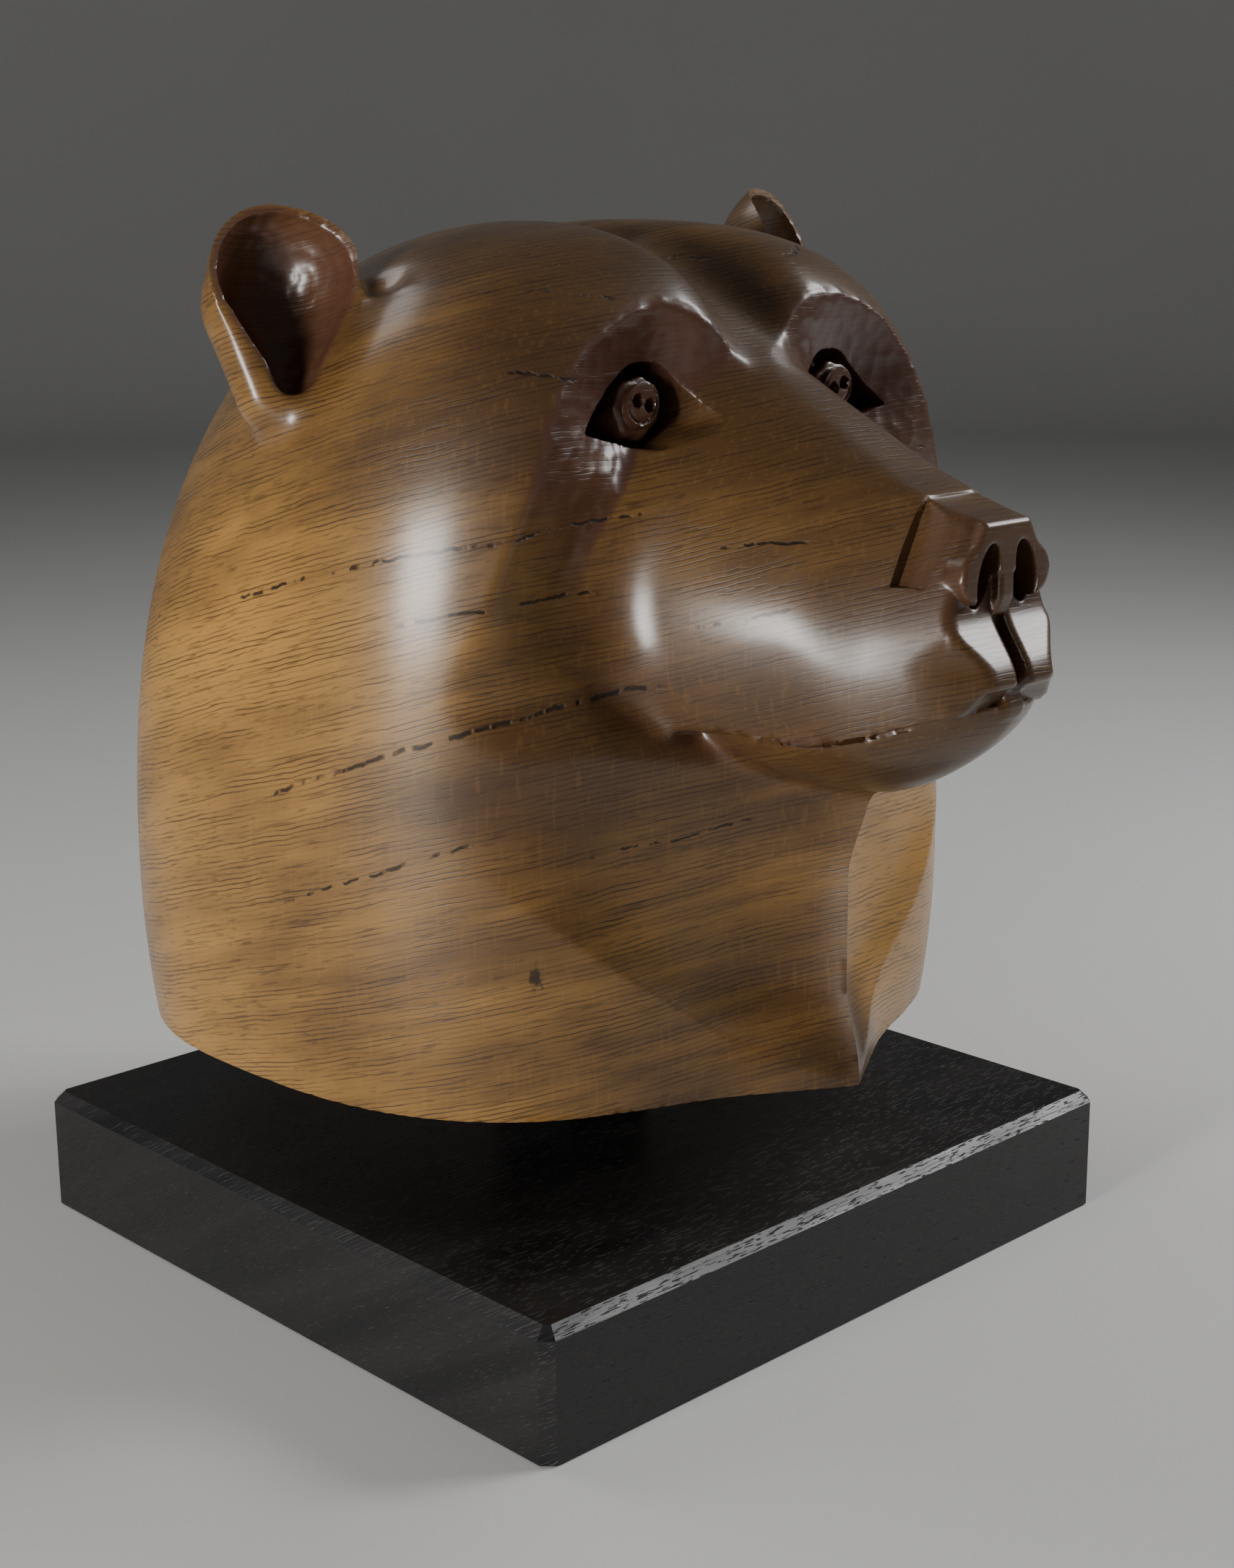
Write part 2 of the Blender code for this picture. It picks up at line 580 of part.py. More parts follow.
def settled(data, rounds, pull=0.12):
    """Draws each vertex to where the form's own flats meet, so that creases and rims stay crisp."""
    corners = np.empty(len(data.loops), dtype=int)
    data.loops.foreach_get("vertex_index", corners)
    sizes = np.empty(len(data.polygons), dtype=int)
    data.polygons.foreach_get("loop_total", sizes)
    faces = np.repeat(np.arange(len(sizes)), sizes)
    places, _ = onto_form(vertex_places(data), 4)
    count = len(places)
    for _ in range(rounds):
        middles = np.stack([np.bincount(faces, places[corners, k]) / sizes for k in range(3)], axis=1)
        middles, normals = onto_form(middles, 2)
        towards = normals[faces]
        offset = (towards * middles[faces]).sum(axis=1)
        matrix = np.zeros((count, 3, 3))
        target = np.zeros((count, 3))
        mean = np.stack([np.bincount(corners, middles[faces, k], count) for k in range(3)], axis=1)
        mean = mean / np.bincount(corners, minlength=count)[:, None]
        for a in range(3):
            target[:, a] = np.bincount(corners, towards[:, a] * offset, count) + pull * mean[:, a]
            for b in range(3):
                matrix[:, a, b] = np.bincount(corners, towards[:, a] * towards[:, b], count)
            matrix[:, a, a] += pull
        solved = np.linalg.solve(matrix, target[:, :, None])[:, :, 0]
        step = solved - mean
        length = np.linalg.norm(step, axis=1)
        limit = BLANK_CELL * 0.8
        places = mean + step * np.minimum(1.0, limit / np.maximum(length, 1e-9))[:, None]
    move_vertices(data, places)


def build_head(collection):
    """The carved head as one closed solid."""
    head = new_object("bear_head", blank_columns(), collection)
    modified(head, "REMESH", mode="VOXEL", voxel_size=REMESH_CELL)
    settled(head.data, 4)
    modified(head, "TRIANGULATE")
    ratio = TRIANGLE_BUDGET / len(head.data.polygons)
    modified(head, "DECIMATE", ratio=ratio)
    dressed(head, OAK, 0.42)
    return head


def chamfered_box(name, side, low, high, collection):
    """A square box between two heights."""
    mesh = bmesh.new()
    middle = 0.5 * (low + high)
    matrix = Matrix.Translation((0.0, 0.0, middle)) @ Matrix.Diagonal((side, side, high - low, 1.0))
    bmesh.ops.create_cube(mesh, size=1.0, matrix=matrix)
    data = bpy.data.meshes.new(name)
    mesh.to_mesh(data)
    mesh.free()
    return new_object(name, data, collection)


def chamfer_edges(obj, wanted, width):
    """Cuts a flat chamfer along the edges whose two ends pass the test."""
    mesh = bmesh.new()
    mesh.from_mesh(obj.data)
    edges = [e for e in mesh.edges if wanted(e.verts[0].co, e.verts[1].co)]
    bmesh.ops.bevel(mesh, geom=edges, offset=width, segments=1, profile=0.5, affect="EDGES", material=-1)
    mesh.to_mesh(obj.data)
    mesh.free()


def build_plinth(collection):
    """Square slab: corners first, then the top edge, then a fine arris round the foot."""
    plinth = chamfered_box("plinth", PLINTH_SIDE, 0.0, PLINTH_HEIGHT, collection)
    middle = PLINTH_HEIGHT / 2.0
    chamfer_edges(plinth, lambda a, b: (a.z - middle) * (b.z - middle) < 0.0, PLINTH_CORNER_CHAMFER)
    near = 1e-5
    chamfer_edges(plinth, lambda a, b: min(a.z, b.z) > PLINTH_HEIGHT - near, PLINTH_TOP_CHAMFER)
    chamfer_edges(plinth, lambda a, b: max(a.z, b.z) < near, PLINTH_FOOT_CHAMFER)
    dressed(plinth, EBONY, 0.5)
    return plinth


def build_post(collection):
    """Short square post under the head, with broken upright corners."""
    low = PLINTH_HEIGHT + SEAT_GAP
    high = HEAD_BASE_Z - SEAT_GAP
    post = chamfered_box("support_post", POST_SIDE, low, high, collection)
    middle = 0.5 * (low + high)
    chamfer_edges(post, lambda a, b: (a.z - middle) * (b.z - middle) < 0.0, POST_CHAMFER)
    dressed(post, POST_BLACK, 0.6)
    return post


def main():
    """Builds the three pieces."""
    for obj in list(bpy.data.objects):
        bpy.data.objects.remove(obj, do_unlink=True)
    collection = fresh_collection("bear_head_sculpture")
    build_plinth(collection)
    build_post(collection)
    build_head(collection)


main()
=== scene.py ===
"""Bear's head carved from one block of oak, held by a short dark post over an ebonised plinth.

The carving is measured in marks, 349.2 of them from the flat underside of the head to its crown. Across is x,
the face looks along -y, and z is up from the underside. All else is in metres, in the model's frame.
"""
import sys
import logging
import math
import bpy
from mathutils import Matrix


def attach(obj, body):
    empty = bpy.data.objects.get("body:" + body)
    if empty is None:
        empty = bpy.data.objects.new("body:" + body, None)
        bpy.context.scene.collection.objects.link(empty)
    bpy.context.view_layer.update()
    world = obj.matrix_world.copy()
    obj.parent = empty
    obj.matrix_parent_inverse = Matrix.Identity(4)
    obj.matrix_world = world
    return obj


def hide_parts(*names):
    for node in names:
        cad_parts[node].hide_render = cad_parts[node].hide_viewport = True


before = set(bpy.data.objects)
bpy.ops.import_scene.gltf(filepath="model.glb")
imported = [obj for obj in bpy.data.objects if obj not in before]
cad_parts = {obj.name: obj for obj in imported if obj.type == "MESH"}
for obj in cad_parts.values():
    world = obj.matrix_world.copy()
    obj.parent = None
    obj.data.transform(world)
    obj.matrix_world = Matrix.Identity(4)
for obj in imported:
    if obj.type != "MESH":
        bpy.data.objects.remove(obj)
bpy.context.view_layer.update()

from concurrent.futures import ThreadPoolExecutor
from dataclasses import dataclass, field
from enum import Enum

import bmesh
import bpy
import numpy as np
from mathutils import Matrix, Vector

LOG = logging.getLogger("bear_head_sculpture")

CROWN_Z = 349.2
HEAD_BASE = 0.107
MARK = 0.3492 / CROWN_Z

Vec3 = tuple[float, float, float]
Field = np.ndarray
Spot = tuple[Field, Field, Field]
Socket = bpy.types.NodeSocket
Value = Socket | float


def ramp(value: Field, start: float, end: float) -> Field:
    """Smooth step.

    Args:
        value: Numbers to grade.
        start: Where the step is 0.
        end: Where the step is 1.

    Returns:
        The step, from 0 to 1.
    """
    t = np.clip((value - start) / (end - start), 0.0, 1.0)
    return t * t * (3.0 - 2.0 * t)


def joined(a: Field, b: Field, radius: float | Field) -> Field:
    """Union of two fields.

    Args:
        a: First field, negative inside the wood.
        b: Second field.
        radius: Size of the fillet between them.

    Returns:
        The field of both together.
    """
    h = np.clip(0.5 + 0.5 * (b - a) / radius, 0.0, 1.0)
    return b + (a - b) * h - radius * h * (1.0 - h)


def common(a: Field, b: Field, radius: float | Field) -> Field:
    """Intersection of two fields.

    Args:
        a: First field, negative inside the wood.
        b: Second field.
        radius: How far the edge between them is rounded.

    Returns:
        The field of what they share.
    """
    return -joined(-a, -b, radius)


def unit(vectors: np.ndarray) -> np.ndarray:
    """Vectors, one to a row, brought to length 1."""
    return vectors / np.maximum(np.linalg.norm(vectors, axis=1), 1e-6)[:, None]


@dataclass(frozen=True)
class Skull:
    """Dome over near-plumb walls, squarer in front than behind, leaning forward as it rises."""

    waist_z: float = 66.6
    half_width: float = 174.5
    front: float = 177.8
    back: float = 157.4
    centre_y: float = 32.7
    lean: float = 28.6
    foot_taper: float = 0.0575
    plan_squareness: tuple[float, float] = (2.734, 2.245)
    dome_squareness: tuple[float, float] = (3.463, 2.508)
    furrow_depth: tuple[float, float] = (4.0, 22.0)
    furrow_half: tuple[float, float] = (15.0, 21.0)

    def form(self, spot: Spot) -> Field:
        """Field of the dome and walls.

        Args:
            spot: Distances across and back, and height.

        Returns:
            Signed distance, negative inside.
        """
        x, y, z = spot
        rise = np.maximum(z - self.waist_z, 0.0) / (CROWN_Z - self.waist_z)
        back = y - self.centre_y + self.lean * np.minimum(rise, 1.1) ** 2
        share = ramp(0.5 - back / (np.hypot(x, back) + 1e-6), 0.0, 1.0)
        n = self.plan_squareness[0] * share + self.plan_squareness[1] * (1.0 - share)
        m = self.dome_squareness[0] * share + self.dome_squareness[1] * (1.0 - share)
        reach = np.where(back < 0.0, self.front, self.back)
        foot = 1.0 - self.foot_taper * (np.minimum(z - self.waist_z, 0.0) / 100.0) ** 2
        ax = x / self.half_width + 1e-9
        ay = np.abs(back) / reach + 1e-9
        plan = (ax ** n + ay ** n) ** (1.0 / n)
        wall = plan / foot
        dome = (wall ** m + rise ** m) ** (1.0 / m)
        plan_slope = (wall / dome) ** (m - 1.0)
        slope_z = (rise / dome) ** (m - 1.0) / (CROWN_Z - self.waist_z)
        slope_x = plan_slope * (ax / plan) ** (n - 1.0) / self.half_width
        slope_y = plan_slope * (ay / plan) ** (n - 1.0) / reach
        slope = np.sqrt(slope_x ** 2 + slope_y ** 2 + slope_z ** 2)
        return (dome - 1.0) / np.maximum(slope, 1e-4)

    def furrow(self, spot: Spot) -> Field:
        """Depth of the groove between the brow lobes.

        Args:
            spot: Distances across and back, and height.

        Returns:
            Depth in marks.
        """
        x, y, z = spot
        crown, brow = self.furrow_depth
        depth = crown + (brow - crown) * ramp(y, 5.0, -95.0)
        half = self.furrow_half[0] + (self.furrow_half[1] - self.furrow_half[0]) * ramp(y, 0.0, -90.0)
        return depth * ramp(y, 95.0, 30.0) * ramp(z, 230.0, 290.0) * np.exp(-(x / half) ** 2)


@dataclass(frozen=True)
class Throat:
    """Keel of the throat and the flats between it and the crease that climbs away from its foot."""

    keel_y: float = -169.0
    foot_reach: float = 7.5
    jaw_reach: float = 11.0
    flare: float = 0.62
    top_z: float = 150.0
    crease_rise: float = 0.45
    crease_curve: float = 0.002
    crease_depth: float = 10.0
    crease_run: float = 25.0

    def keel(self, spot: Spot) -> Field:
        """Field of the keel, plumb, and forward at the foot and under the jaw.

        Args:
            spot: Distances across and back, and height.

        Returns:
            Signed distance, negative inside.
        """
        x, y, z = spot
        edge = self.keel_y - self.foot_reach * ramp(z, 45.0, 5.0) - self.jaw_reach * ramp(z, 88.0, 130.0)
        flank = (edge + self.flare * x - y) / math.hypot(1.0, self.flare)
        flank = common(common(flank, z - self.top_z, 10.0), x - 85.0, 10.0)
        return common(flank, y + 80.0, 10.0)

    def flats(self, spot: Spot) -> Field:
        """Depth of the flats above the crease.

        Args:
            spot: Distances across and back, and height.

        Returns:
            Depth in marks.
        """
        x, y, z = spot
        above = np.maximum(z - 0.7 - self.crease_rise * x - self.crease_curve * x * x, 0.0)
        depth = self.crease_depth * (1.0 - np.exp(-above / self.crease_run)) * (1.0 - np.exp(-x / 6.0))
        return depth * (1.0 - ramp(x, 80.0, 160.0)) * ramp(z, 190.0, 120.0) * ramp(y, 0.0, -60.0)


@dataclass(frozen=True)
class Eye:
    """Opening between the lids, and the drooping stalk inside it with its pierced ring."""

    x: float = 58.0
    z: float = 282.0
    floor_y: float = -84.0
    outer_lid: float = 13.0
    inner_lid: float = 16.2
    top: float = 13.5
    inner_reach: float = 23.0
    stalk_x: float = 57.7
    stalk_z: float = 280.3
    stalk_y: float = -110.5
    stalk_radius: float = 11.6
    ring_radius: float = 8.8
    flute_depth: float = 0.55
    flutes: float = 7.0
    step: float = 3.5
    droop: float = 0.42
    trench: float = 1.6
    hole_radius: float = 2.7
    hole_offset: float = 3.6
    hole_depth: float = 7.0

    def opening(self, x: Field, z: Field) -> Field:
        """Outline between the lids, a rounded triangle with a sagging lower edge.

        Args:
            x: Distance across.
            z: Height.

        Returns:
            Signed distance, negative inside the opening.
        """
        u = x - self.x
        v = z - self.z
        lower = common(-(v + 19.5 - 0.26 * u) * 0.97, -(v + 24.0 + 0.62 * u) * 0.85, 4.0)
        outer = 0.685 * u + 0.728 * v - self.outer_lid
        inner = -0.766 * u + 0.643 * v - self.inner_lid
        upper = common(common(outer, inner, 6.0), v - self.top, 4.0)
        return common(common(upper, lower, 1.5), -u - self.inner_reach, 4.0)

    def on_stalk(self, spot: Spot) -> tuple[Field, Field, Field]:
        """Place seen along the stalk.

        Args:
            spot: Distances across and back, and height.

        Returns:
            Distance back from the ring, and the two distances across the stalk.
        """
        x, y, z = spot
        back = y - self.stalk_y
        return back, x - self.stalk_x, z - self.stalk_z + self.droop * back

    def stalk(self, spot: Spot) -> Field:
        """Field of the stalk and its ring, before the ring is pierced.

        Args:
            spot: Distances across and back, and height.

        Returns:
            Signed distance, negative inside.
        """
        back, u, v = self.on_stalk(spot)
        rho = np.hypot(u, v)
        wave = self.flute_depth * np.cos(self.flutes * np.arctan2(v, u))
        stalk = common(rho - self.stalk_radius - wave - 0.10 * back, self.step - back, 2.5)
        ring = common(rho - self.ring_radius, -back, 1.0)
        return common(joined(stalk, ring, 0.5), spot[1] - self.floor_y - 6.0, 1.0)

    def pits(self, spot: Spot) -> Field:
        """How far the front of the ring is sunk by its two holes and by the groove round it.

        Args:
            spot: Distances across and back, and height.

        Returns:
            Depth in marks.
        """
        back, u, v = self.on_stalk(spot)
        apart = np.hypot(np.abs(u + 0.35 * v) - self.hole_offset, v - 0.35 * u)
        hole = self.hole_depth * ramp(apart, self.hole_radius + 0.5, self.hole_radius - 0.9)
        groove = self.trench * np.exp(-((np.hypot(u, v) - 7.6) / 0.75) ** 2) * ramp(v, 7.0, -1.0)
        return np.maximum(hole, groove) * ramp(back, 3.0, 1.2)


@dataclass(frozen=True)
class Face:
    """Flat scooped face behind both eyes, hollowed at each eye and coming forward to the chin."""

    y: float = -114.0
    hollow: float = 10.0
    hollow_half_x: float = 50.6
    hollow_half_z: float = 40.5
    brow_reach: float = 8.0
    brow_left_share: float = 0.15
    cheek_fall: float = 10.0
    chin_reach: float = 42.0
    rim_radius: float = 1.5
    rim_fade_radius: float = 17.5
    eye: Eye = field(default_factory=Eye)

    def depth(self, x: Field, z: Field, left: Field) -> Field:
        """Where the face stands.

        Args:
            x: Distance across.
            z: Height.
            left: 1 on the head's left and 0 on its right.

        Returns:
            Its distance back.
        """
        across = (x - self.eye.x - 2.0) / self.hollow_half_x
        upright = (z - self.eye.z + 2.0) / self.hollow_half_z
        hollow = self.hollow * np.maximum(1.0 - across ** 2 - upright ** 2, 0.0) ** 2
        brow = self.brow_reach * (1.0 - (1.0 - self.brow_left_share) * left) * ramp(x, 58.0, 30.0)
        cheek = self.cheek_fall * ramp(z, 262.0, 190.0)
        chin = self.chin_reach * ramp(z, 222.0, 100.0) * (0.25 + 0.75 * ramp(x, 140.0, 95.0))
        return self.y + hollow - brow + cheek - chin


@dataclass(frozen=True)
class Nose:
    """Squared nose: a flat pad over two round wings, pierced by tall nostrils."""

    front_y: float = -244.5
    front_top_half: float = 12.8
    flank_slope: float = 0.56
    wing_radius: float = 10.3
    wing_x: float = 16.5
    wing_z: float = 221.0
    pad_back_y: float = -217.0
    pad_ledge_z: float = 217.5
    pad_top_half: float = 16.3
    pad_slope: float = 0.516
    pad_step: float = 1.2
    pad_groove: float = 2.4
    nostril_x: float = 11.6
    nostril_half: tuple[float, float] = (6.0, 11.6)
    nostril_floor_y: float = -230.0
    bar_half: float = 4.6
    bar_foot_z: float = 205.0
    root_y: float = -234.0

    def pad(self, spot: Spot, bridge: Field) -> Field:
        """Field of the pad: flat top, slanted sides and a groove ahead of each wing.

        Args:
            spot: Distances across and back, and height.
            bridge: Height of the bridge's middle line.

        Returns:
            Signed distance, negative inside.
        """
        x, y, z = spot
        top = (z - bridge + self.pad_step) * 0.97
        side = (x - self.pad_top_half - self.pad_slope * (245.0 - z)) * 0.889
        groove = self.pad_groove * np.exp(-((y + 238.0) / 1.9) ** 2) * ramp(z, 241.0, 236.0)
        return common(top, side + groove, 1.0)

    def front(self, spot: Spot, bridge: Field) -> Field:
        """Field of the front: straight flanks over the wings, and the bar between the nostrils.

        Args:
            spot: Distances across and back, and height.
            bridge: Height of the bridge's middle line.

        Returns:
            Signed distance, negative inside.
        """
        x, y, z = spot
        flank = x - self.front_top_half - self.flank_slope * (243.0 - z)
        flank = flank / math.hypot(1.0, self.flank_slope)
        flank = common(common(flank, self.wing_z - z, 1.0), z - bridge + self.pad_step, 1.0)
        wing = np.hypot(x - self.wing_x, z - self.wing_z) - self.wing_radius
        bar = common(common(x - self.bar_half, self.bar_foot_z - z, 2.0), z - 225.0, 1.0)
        outline = joined(joined(flank, wing, 3.0), bar, 1.5)
        outline = common(outline, self.front_y + 3.0 * ramp(z, 214.0, 204.0) - y, 2.2)
        return common(outline, y - self.root_y, 1.0)

    def nostril(self, spot: Spot) -> Field:
        """Field of one nostril, a tall oval leaning outward to its foot.

        Args:
            spot: Distances across and back, and height.

        Returns:
            Signed distance, negative inside the hole.
        """
        x, y, z = spot
        half_x, half_z = self.nostril_half
        v = z - self.wing_z
        u = x - self.nostril_x + 0.22 * v
        hole = (np.hypot(u / half_x, v / half_z) - 1.0) * half_x
        return common(hole, y - self.nostril_floor_y, 2.0)


@dataclass(frozen=True)
class Muzzle:
    """Long muzzle with its nose, cleft lip, mouth line and jaw."""

    bridge_half: float = 17.8
    bridge_slope: float = 0.535
    bridge_level: float = 289.0
    bridge_level_y: float = -137.0
    nose_slope: float = 0.225
    nose_level: float = 242.7
    nose_level_y: float = -243.4
    bridge_crown: float = 3.5
    bridge_edge: float = 9.0
    half_tip: float = 33.0
    widest_z: float = 192.0
    end_y: float = -45.0
    mouth_z: float = 155.0
    mouth_rise: float = 19.0
    mouth_slit: float = 2.2
    jaw_centre_y: float = -166.0
    jaw_half_width: float = 54.0
    jaw_length: float = 83.0
    jaw_depth: float = 28.0
    jaw_keel: float = 1.5
    lip_top_y: float = -240.0
    lip_reach: float = 13.5
    lip_corner_half: float = 20.0
    cleft_half: float = 3.4
    cleft_floor_y: float = -236.0
    chin_half: float = 5.0
    chin_y: float = -249.0
    chin_z: float = 175.0
    chin_half_height: float = 7.0
    nose: Nose = field(default_factory=Nose)

    def bridge(self, y: Field) -> Field:
        """Middle line of the bridge: a straight slope, flatter over the nose."""
        slope = self.bridge_level + self.bridge_slope * (y - self.bridge_level_y)
        return common(slope, self.nose_level + self.nose_slope * (y - self.nose_level_y), 8.0)

    def mouth(self, y: Field) -> Field:
        """Line where the lips meet."""
        return self.mouth_z + self.mouth_rise * ramp(y, -185.0, -268.0)

    def lip_front(self, z: Field) -> Field:
        """Front of the lip blocks, leaning forward to their feet."""
        return self.lip_top_y - self.lip_reach * ramp(z, 211.0, 181.0)

    def block(self, spot: Spot) -> Field:
        """Field of the bridge, flanks and lip blocks before the nose is cut.

        Args:
            spot: Distances across and back, and height.

        Returns:
            Signed distance, negative inside.
        """
        x, y, z = spot
        toward_nose = ramp(y, -180.0, -214.0)
        half_top = self.bridge_half - 3.8 * ramp(y, -205.0, -244.0) - 3.0 * ramp(y, -110.0, -60.0)
        middle = self.bridge(y)
        dome = self.bridge_crown - 3.0 * ramp(y, -120.0, -205.0)
        top = (z - middle + dome * (x / half_top) ** 2) * 0.88
        run = np.clip(y + 240.0, 0.0, 190.0)
        half_widest = self.half_tip + 0.5 * run - 0.0011 * run * run
        widest_z = self.widest_z - 14.0 * toward_nose
        fall = np.clip((middle - z) / (middle - widest_z), 0.0, 1.3)
        swell = np.where(fall < 1.0, 1.0 - (1.0 - fall) ** 2, 1.0)
        half = half_top + (half_widest - half_top) * swell
        half = half - 5.0 * (np.maximum(widest_z - z, 0.0) / 30.0) ** 2
        block = common(top, (x - half) * 0.85, self.bridge_edge - 5.0 * toward_nose)
        lip = self.lip_front(z)
        block = common(block, lip - y, 4.0)
        corner = 0.73 * (x - self.lip_corner_half) - 0.68 * (y - lip - 1.5)
        return common(block, corner - 14.0 * ramp(z, 184.0, 214.0), 3.0)

    def jaw(self, spot: Spot) -> Field:
        """Field of the lower jaw with its small squared tip.

        Args:
            spot: Distances across and back, and height.

        Returns:
            Signed distance, negative inside.
        """
        x, y, z = spot
        lip = self.mouth(y)
        k = self.jaw_keel
        jx = np.abs(x) / self.jaw_half_width + 1e-4
        jz = np.abs(z - lip) / self.jaw_depth + 1e-4
        jy = (y - self.jaw_centre_y) / self.jaw_length
        section = (jx ** k + jz ** k) ** (1.0 / k)
        size = np.hypot(section, jy) + 1e-6
        slope_x = (jx / section) ** (k - 1.0) / self.jaw_half_width
        slope_z = (jz / section) ** (k - 1.0) / self.jaw_depth
        slope = np.hypot(np.hypot(slope_x, slope_z) * section / size, jy / size / self.jaw_length) + 1e-5
        body = common((size - 1.0) / slope, z - lip - 1.5, 1.5)
        tip = common(x - self.chin_half, self.chin_y - y, 2.0)
        tip = common(tip, np.abs(z - self.chin_z) - self.chin_half_height, 2.0)
        return joined(body, common(tip, y + 232.0, 1.0), 3.0)

    def form(self, spot: Spot) -> Field:
        """Field of the whole muzzle.

        Args:
            spot: Distances across and back, and height.

        Returns:
            Signed distance, negative inside.
        """
        x, y, z = spot
        nose = self.nose
        bridge = self.bridge(y)
        block = self.block(spot)
        let_in = common(y - nose.pad_back_y, nose.pad_ledge_z - z, 0.6)
        upper = common(block, -common(let_in, -nose.pad(spot, bridge), 0.6), 0.6)
        cleft = common(common(x - self.cleft_half, y - self.cleft_floor_y, 3.0), z - 212.0, 3.0)
        upper = common(upper, -cleft, 3.0)
        upper = joined(upper, nose.front(spot, bridge), 1.0)
        upper = common(upper, -nose.nostril(spot), 0.8)
        lip = self.mouth(y)
        upper = common(upper, lip + 7.5 * ramp(y, -242.0, -251.0) - z, 2.2)
        upper = common(upper, y - self.end_y, 10.0)
        slit = common(np.abs(z - lip - 0.4) - 0.9, -block - self.mouth_slit, 0.8)
        slit = common(slit, y + 152.0, 1.0)
        return common(joined(upper, self.jaw(spot), 0.8), -slit, 0.6)


@dataclass(frozen=True)
class Ear:
    """Cupped ear whose rim is an egg outline round two circles, brought forward where it meets the brow."""

    centre: Vec3 = (146.3, 5.3, 324.3)
    turn: float = 14.5
    tip: float = 20.0
    upper_circle: Vec3 = (-2.7, 5.0, 29.6)
    lower_circle: Vec3 = (-1.0, -32.5, 11.4)
    rim: float = 3.4
    shell_depth: float = 34.0
    cup_depth: float = 24.0
    rim_sweep: float = 11.4
    lean_back: float = 0.28
    root_radius: float = 14.0
    lobe_top: Vec3 = (8.0, -6.0, -13.0)
    lobe_foot: Vec3 = (3.0, -38.0, -13.0)
    lobe_radius: float = 17.0
    lobe_taper: float = 1.0
    dent: float = 5.0
    dent_spot: Vec3 = (113.0, -20.0, 327.0)
    left_shift: Vec3 = (3.0, 0.0, 3.5)
    left_growth: float = 0.06

    def outline(self, u: Field, v: Field) -> Field:
        """Distance to the egg outline: two circles of unlike size and the tangents between them.

        Args:
            u: Distance across the rim.
            v: Distance up the rim.

        Returns:
            Signed distance, negative inside.
        """
        u1, v1, r1 = self.upper_circle
        u2, v2, r2 = self.lower_circle
        length = math.hypot(u2 - u1, v2 - v1)
        ex = (u2 - u1) / length
        ey = (v2 - v1) / length
        along = (u - u1) * ex + (v - v1) * ey
        across = np.hypot((u - u1) * ey - (v - v1) * ex, 3.0)
        sine = (r1 - r2) / length
        cosine = math.sqrt(1.0 - sine * sine)
        reach = along * cosine - across * sine
        flank = across * cosine + along * sine - r1
        ends = np.where(reach < 0.0, np.hypot(along, across) - r1, np.hypot(along - length, across) - r2)
        return np.where((reach >= 0.0) & (reach <= cosine * length), flank, ends)

    def axes(self) -> tuple[np.ndarray, np.ndarray, np.ndarray]:
        """Directions of the rim.

        Returns:
            Across it, up it and out of the cup.
        """
        turn, tip = math.radians(self.turn), math.radians(self.tip)
        out = np.array([math.sin(turn) * math.cos(tip), -math.cos(turn) * math.cos(tip), math.sin(tip)])
        up = np.array([0.0, 0.0, 1.0]) - out * out[2]
        up = up / np.linalg.norm(up)
        return np.cross(up, out), up, out

    def lobe(self, u: Field, v: Field, w: Field) -> Field:
        """Full flesh of the ear's outer foot, a rounded bar running down behind the rim.

        Args:
            u: Distance across the rim.
            v: Distance up the rim.
            w: Distance out of the cup.

        Returns:
            Signed distance, negative inside.
        """
        top = np.array(self.lobe_top)
        run = np.array(self.lobe_foot) - top
        offset = [u - top[0], v - top[1], w - top[2]]
        share = np.clip(sum(o * r for o, r in zip(offset, run)) / (run ** 2).sum(), 0.0, 1.0)
        apart = np.sqrt(sum((o - share * r) ** 2 for o, r in zip(offset, run)))
        return apart - self.lobe_radius + self.lobe_taper * share

    def form(self, spot: Spot, left: Field) -> tuple[Field, Field, Field]:
        """Shell and cup of an ear.

        Args:
            spot: Distances across and back, and height.
            left: 1 on the head's left and 0 on its right.

        Returns:
            Field of the shell, field of the cup, and how softly the cup's edge runs out.
        """
        offset = [v - c - s * left for v, c, s in zip(spot, self.centre, self.left_shift)]
        size = 1.0 + self.left_growth * left
        u, v, w = (sum(d * a for d, a in zip(offset, axis)) / size for axis in self.axes())
        w = w - self.rim_sweep * (np.maximum(-u - 4.0, 0.0) / 26.0) ** 2
        back = np.maximum(-w, 0.0)
        radius = self.upper_circle[2]
        egg = self.outline(u, v + self.lean_back * back)
        shell = np.hypot(np.maximum(egg + radius, 0.0), back * radius / self.shell_depth) - radius
        shell = joined(common(shell * 0.85, w, 0.8), self.lobe(u, v, w), 10.0)
        shell = common(shell, w, 0.8 + 5.0 * ramp(v, 0.0, -30.0))
        inner = radius - self.rim
        cup = np.hypot(np.maximum(egg + radius, 0.0), back * inner / self.cup_depth) - inner
        cup = common(cup * 0.85, w - 22.0, 6.0)
        du = u - self.upper_circle[0]
        dv = v + 8.0
        softness = ramp(-(0.62 * du + 0.78 * dv) / (np.hypot(du, dv) + 1.0), 0.25, 0.9)
        return shell, cup, 0.8 + 10.0 * softness

    def dimple(self, spot: Spot) -> Field:
        """Depth of the dimple where the rim runs out on the brow."""
        apart = sum((a - b) ** 2 for a, b in zip(spot, self.dent_spot))
        return self.dent * np.exp(-apart / 90.0)


@dataclass(frozen=True)
class Parts:
    """Fields of the head's parts at the same points."""

    whole: Field
    face: Field
    cup: Field
    snout: Field


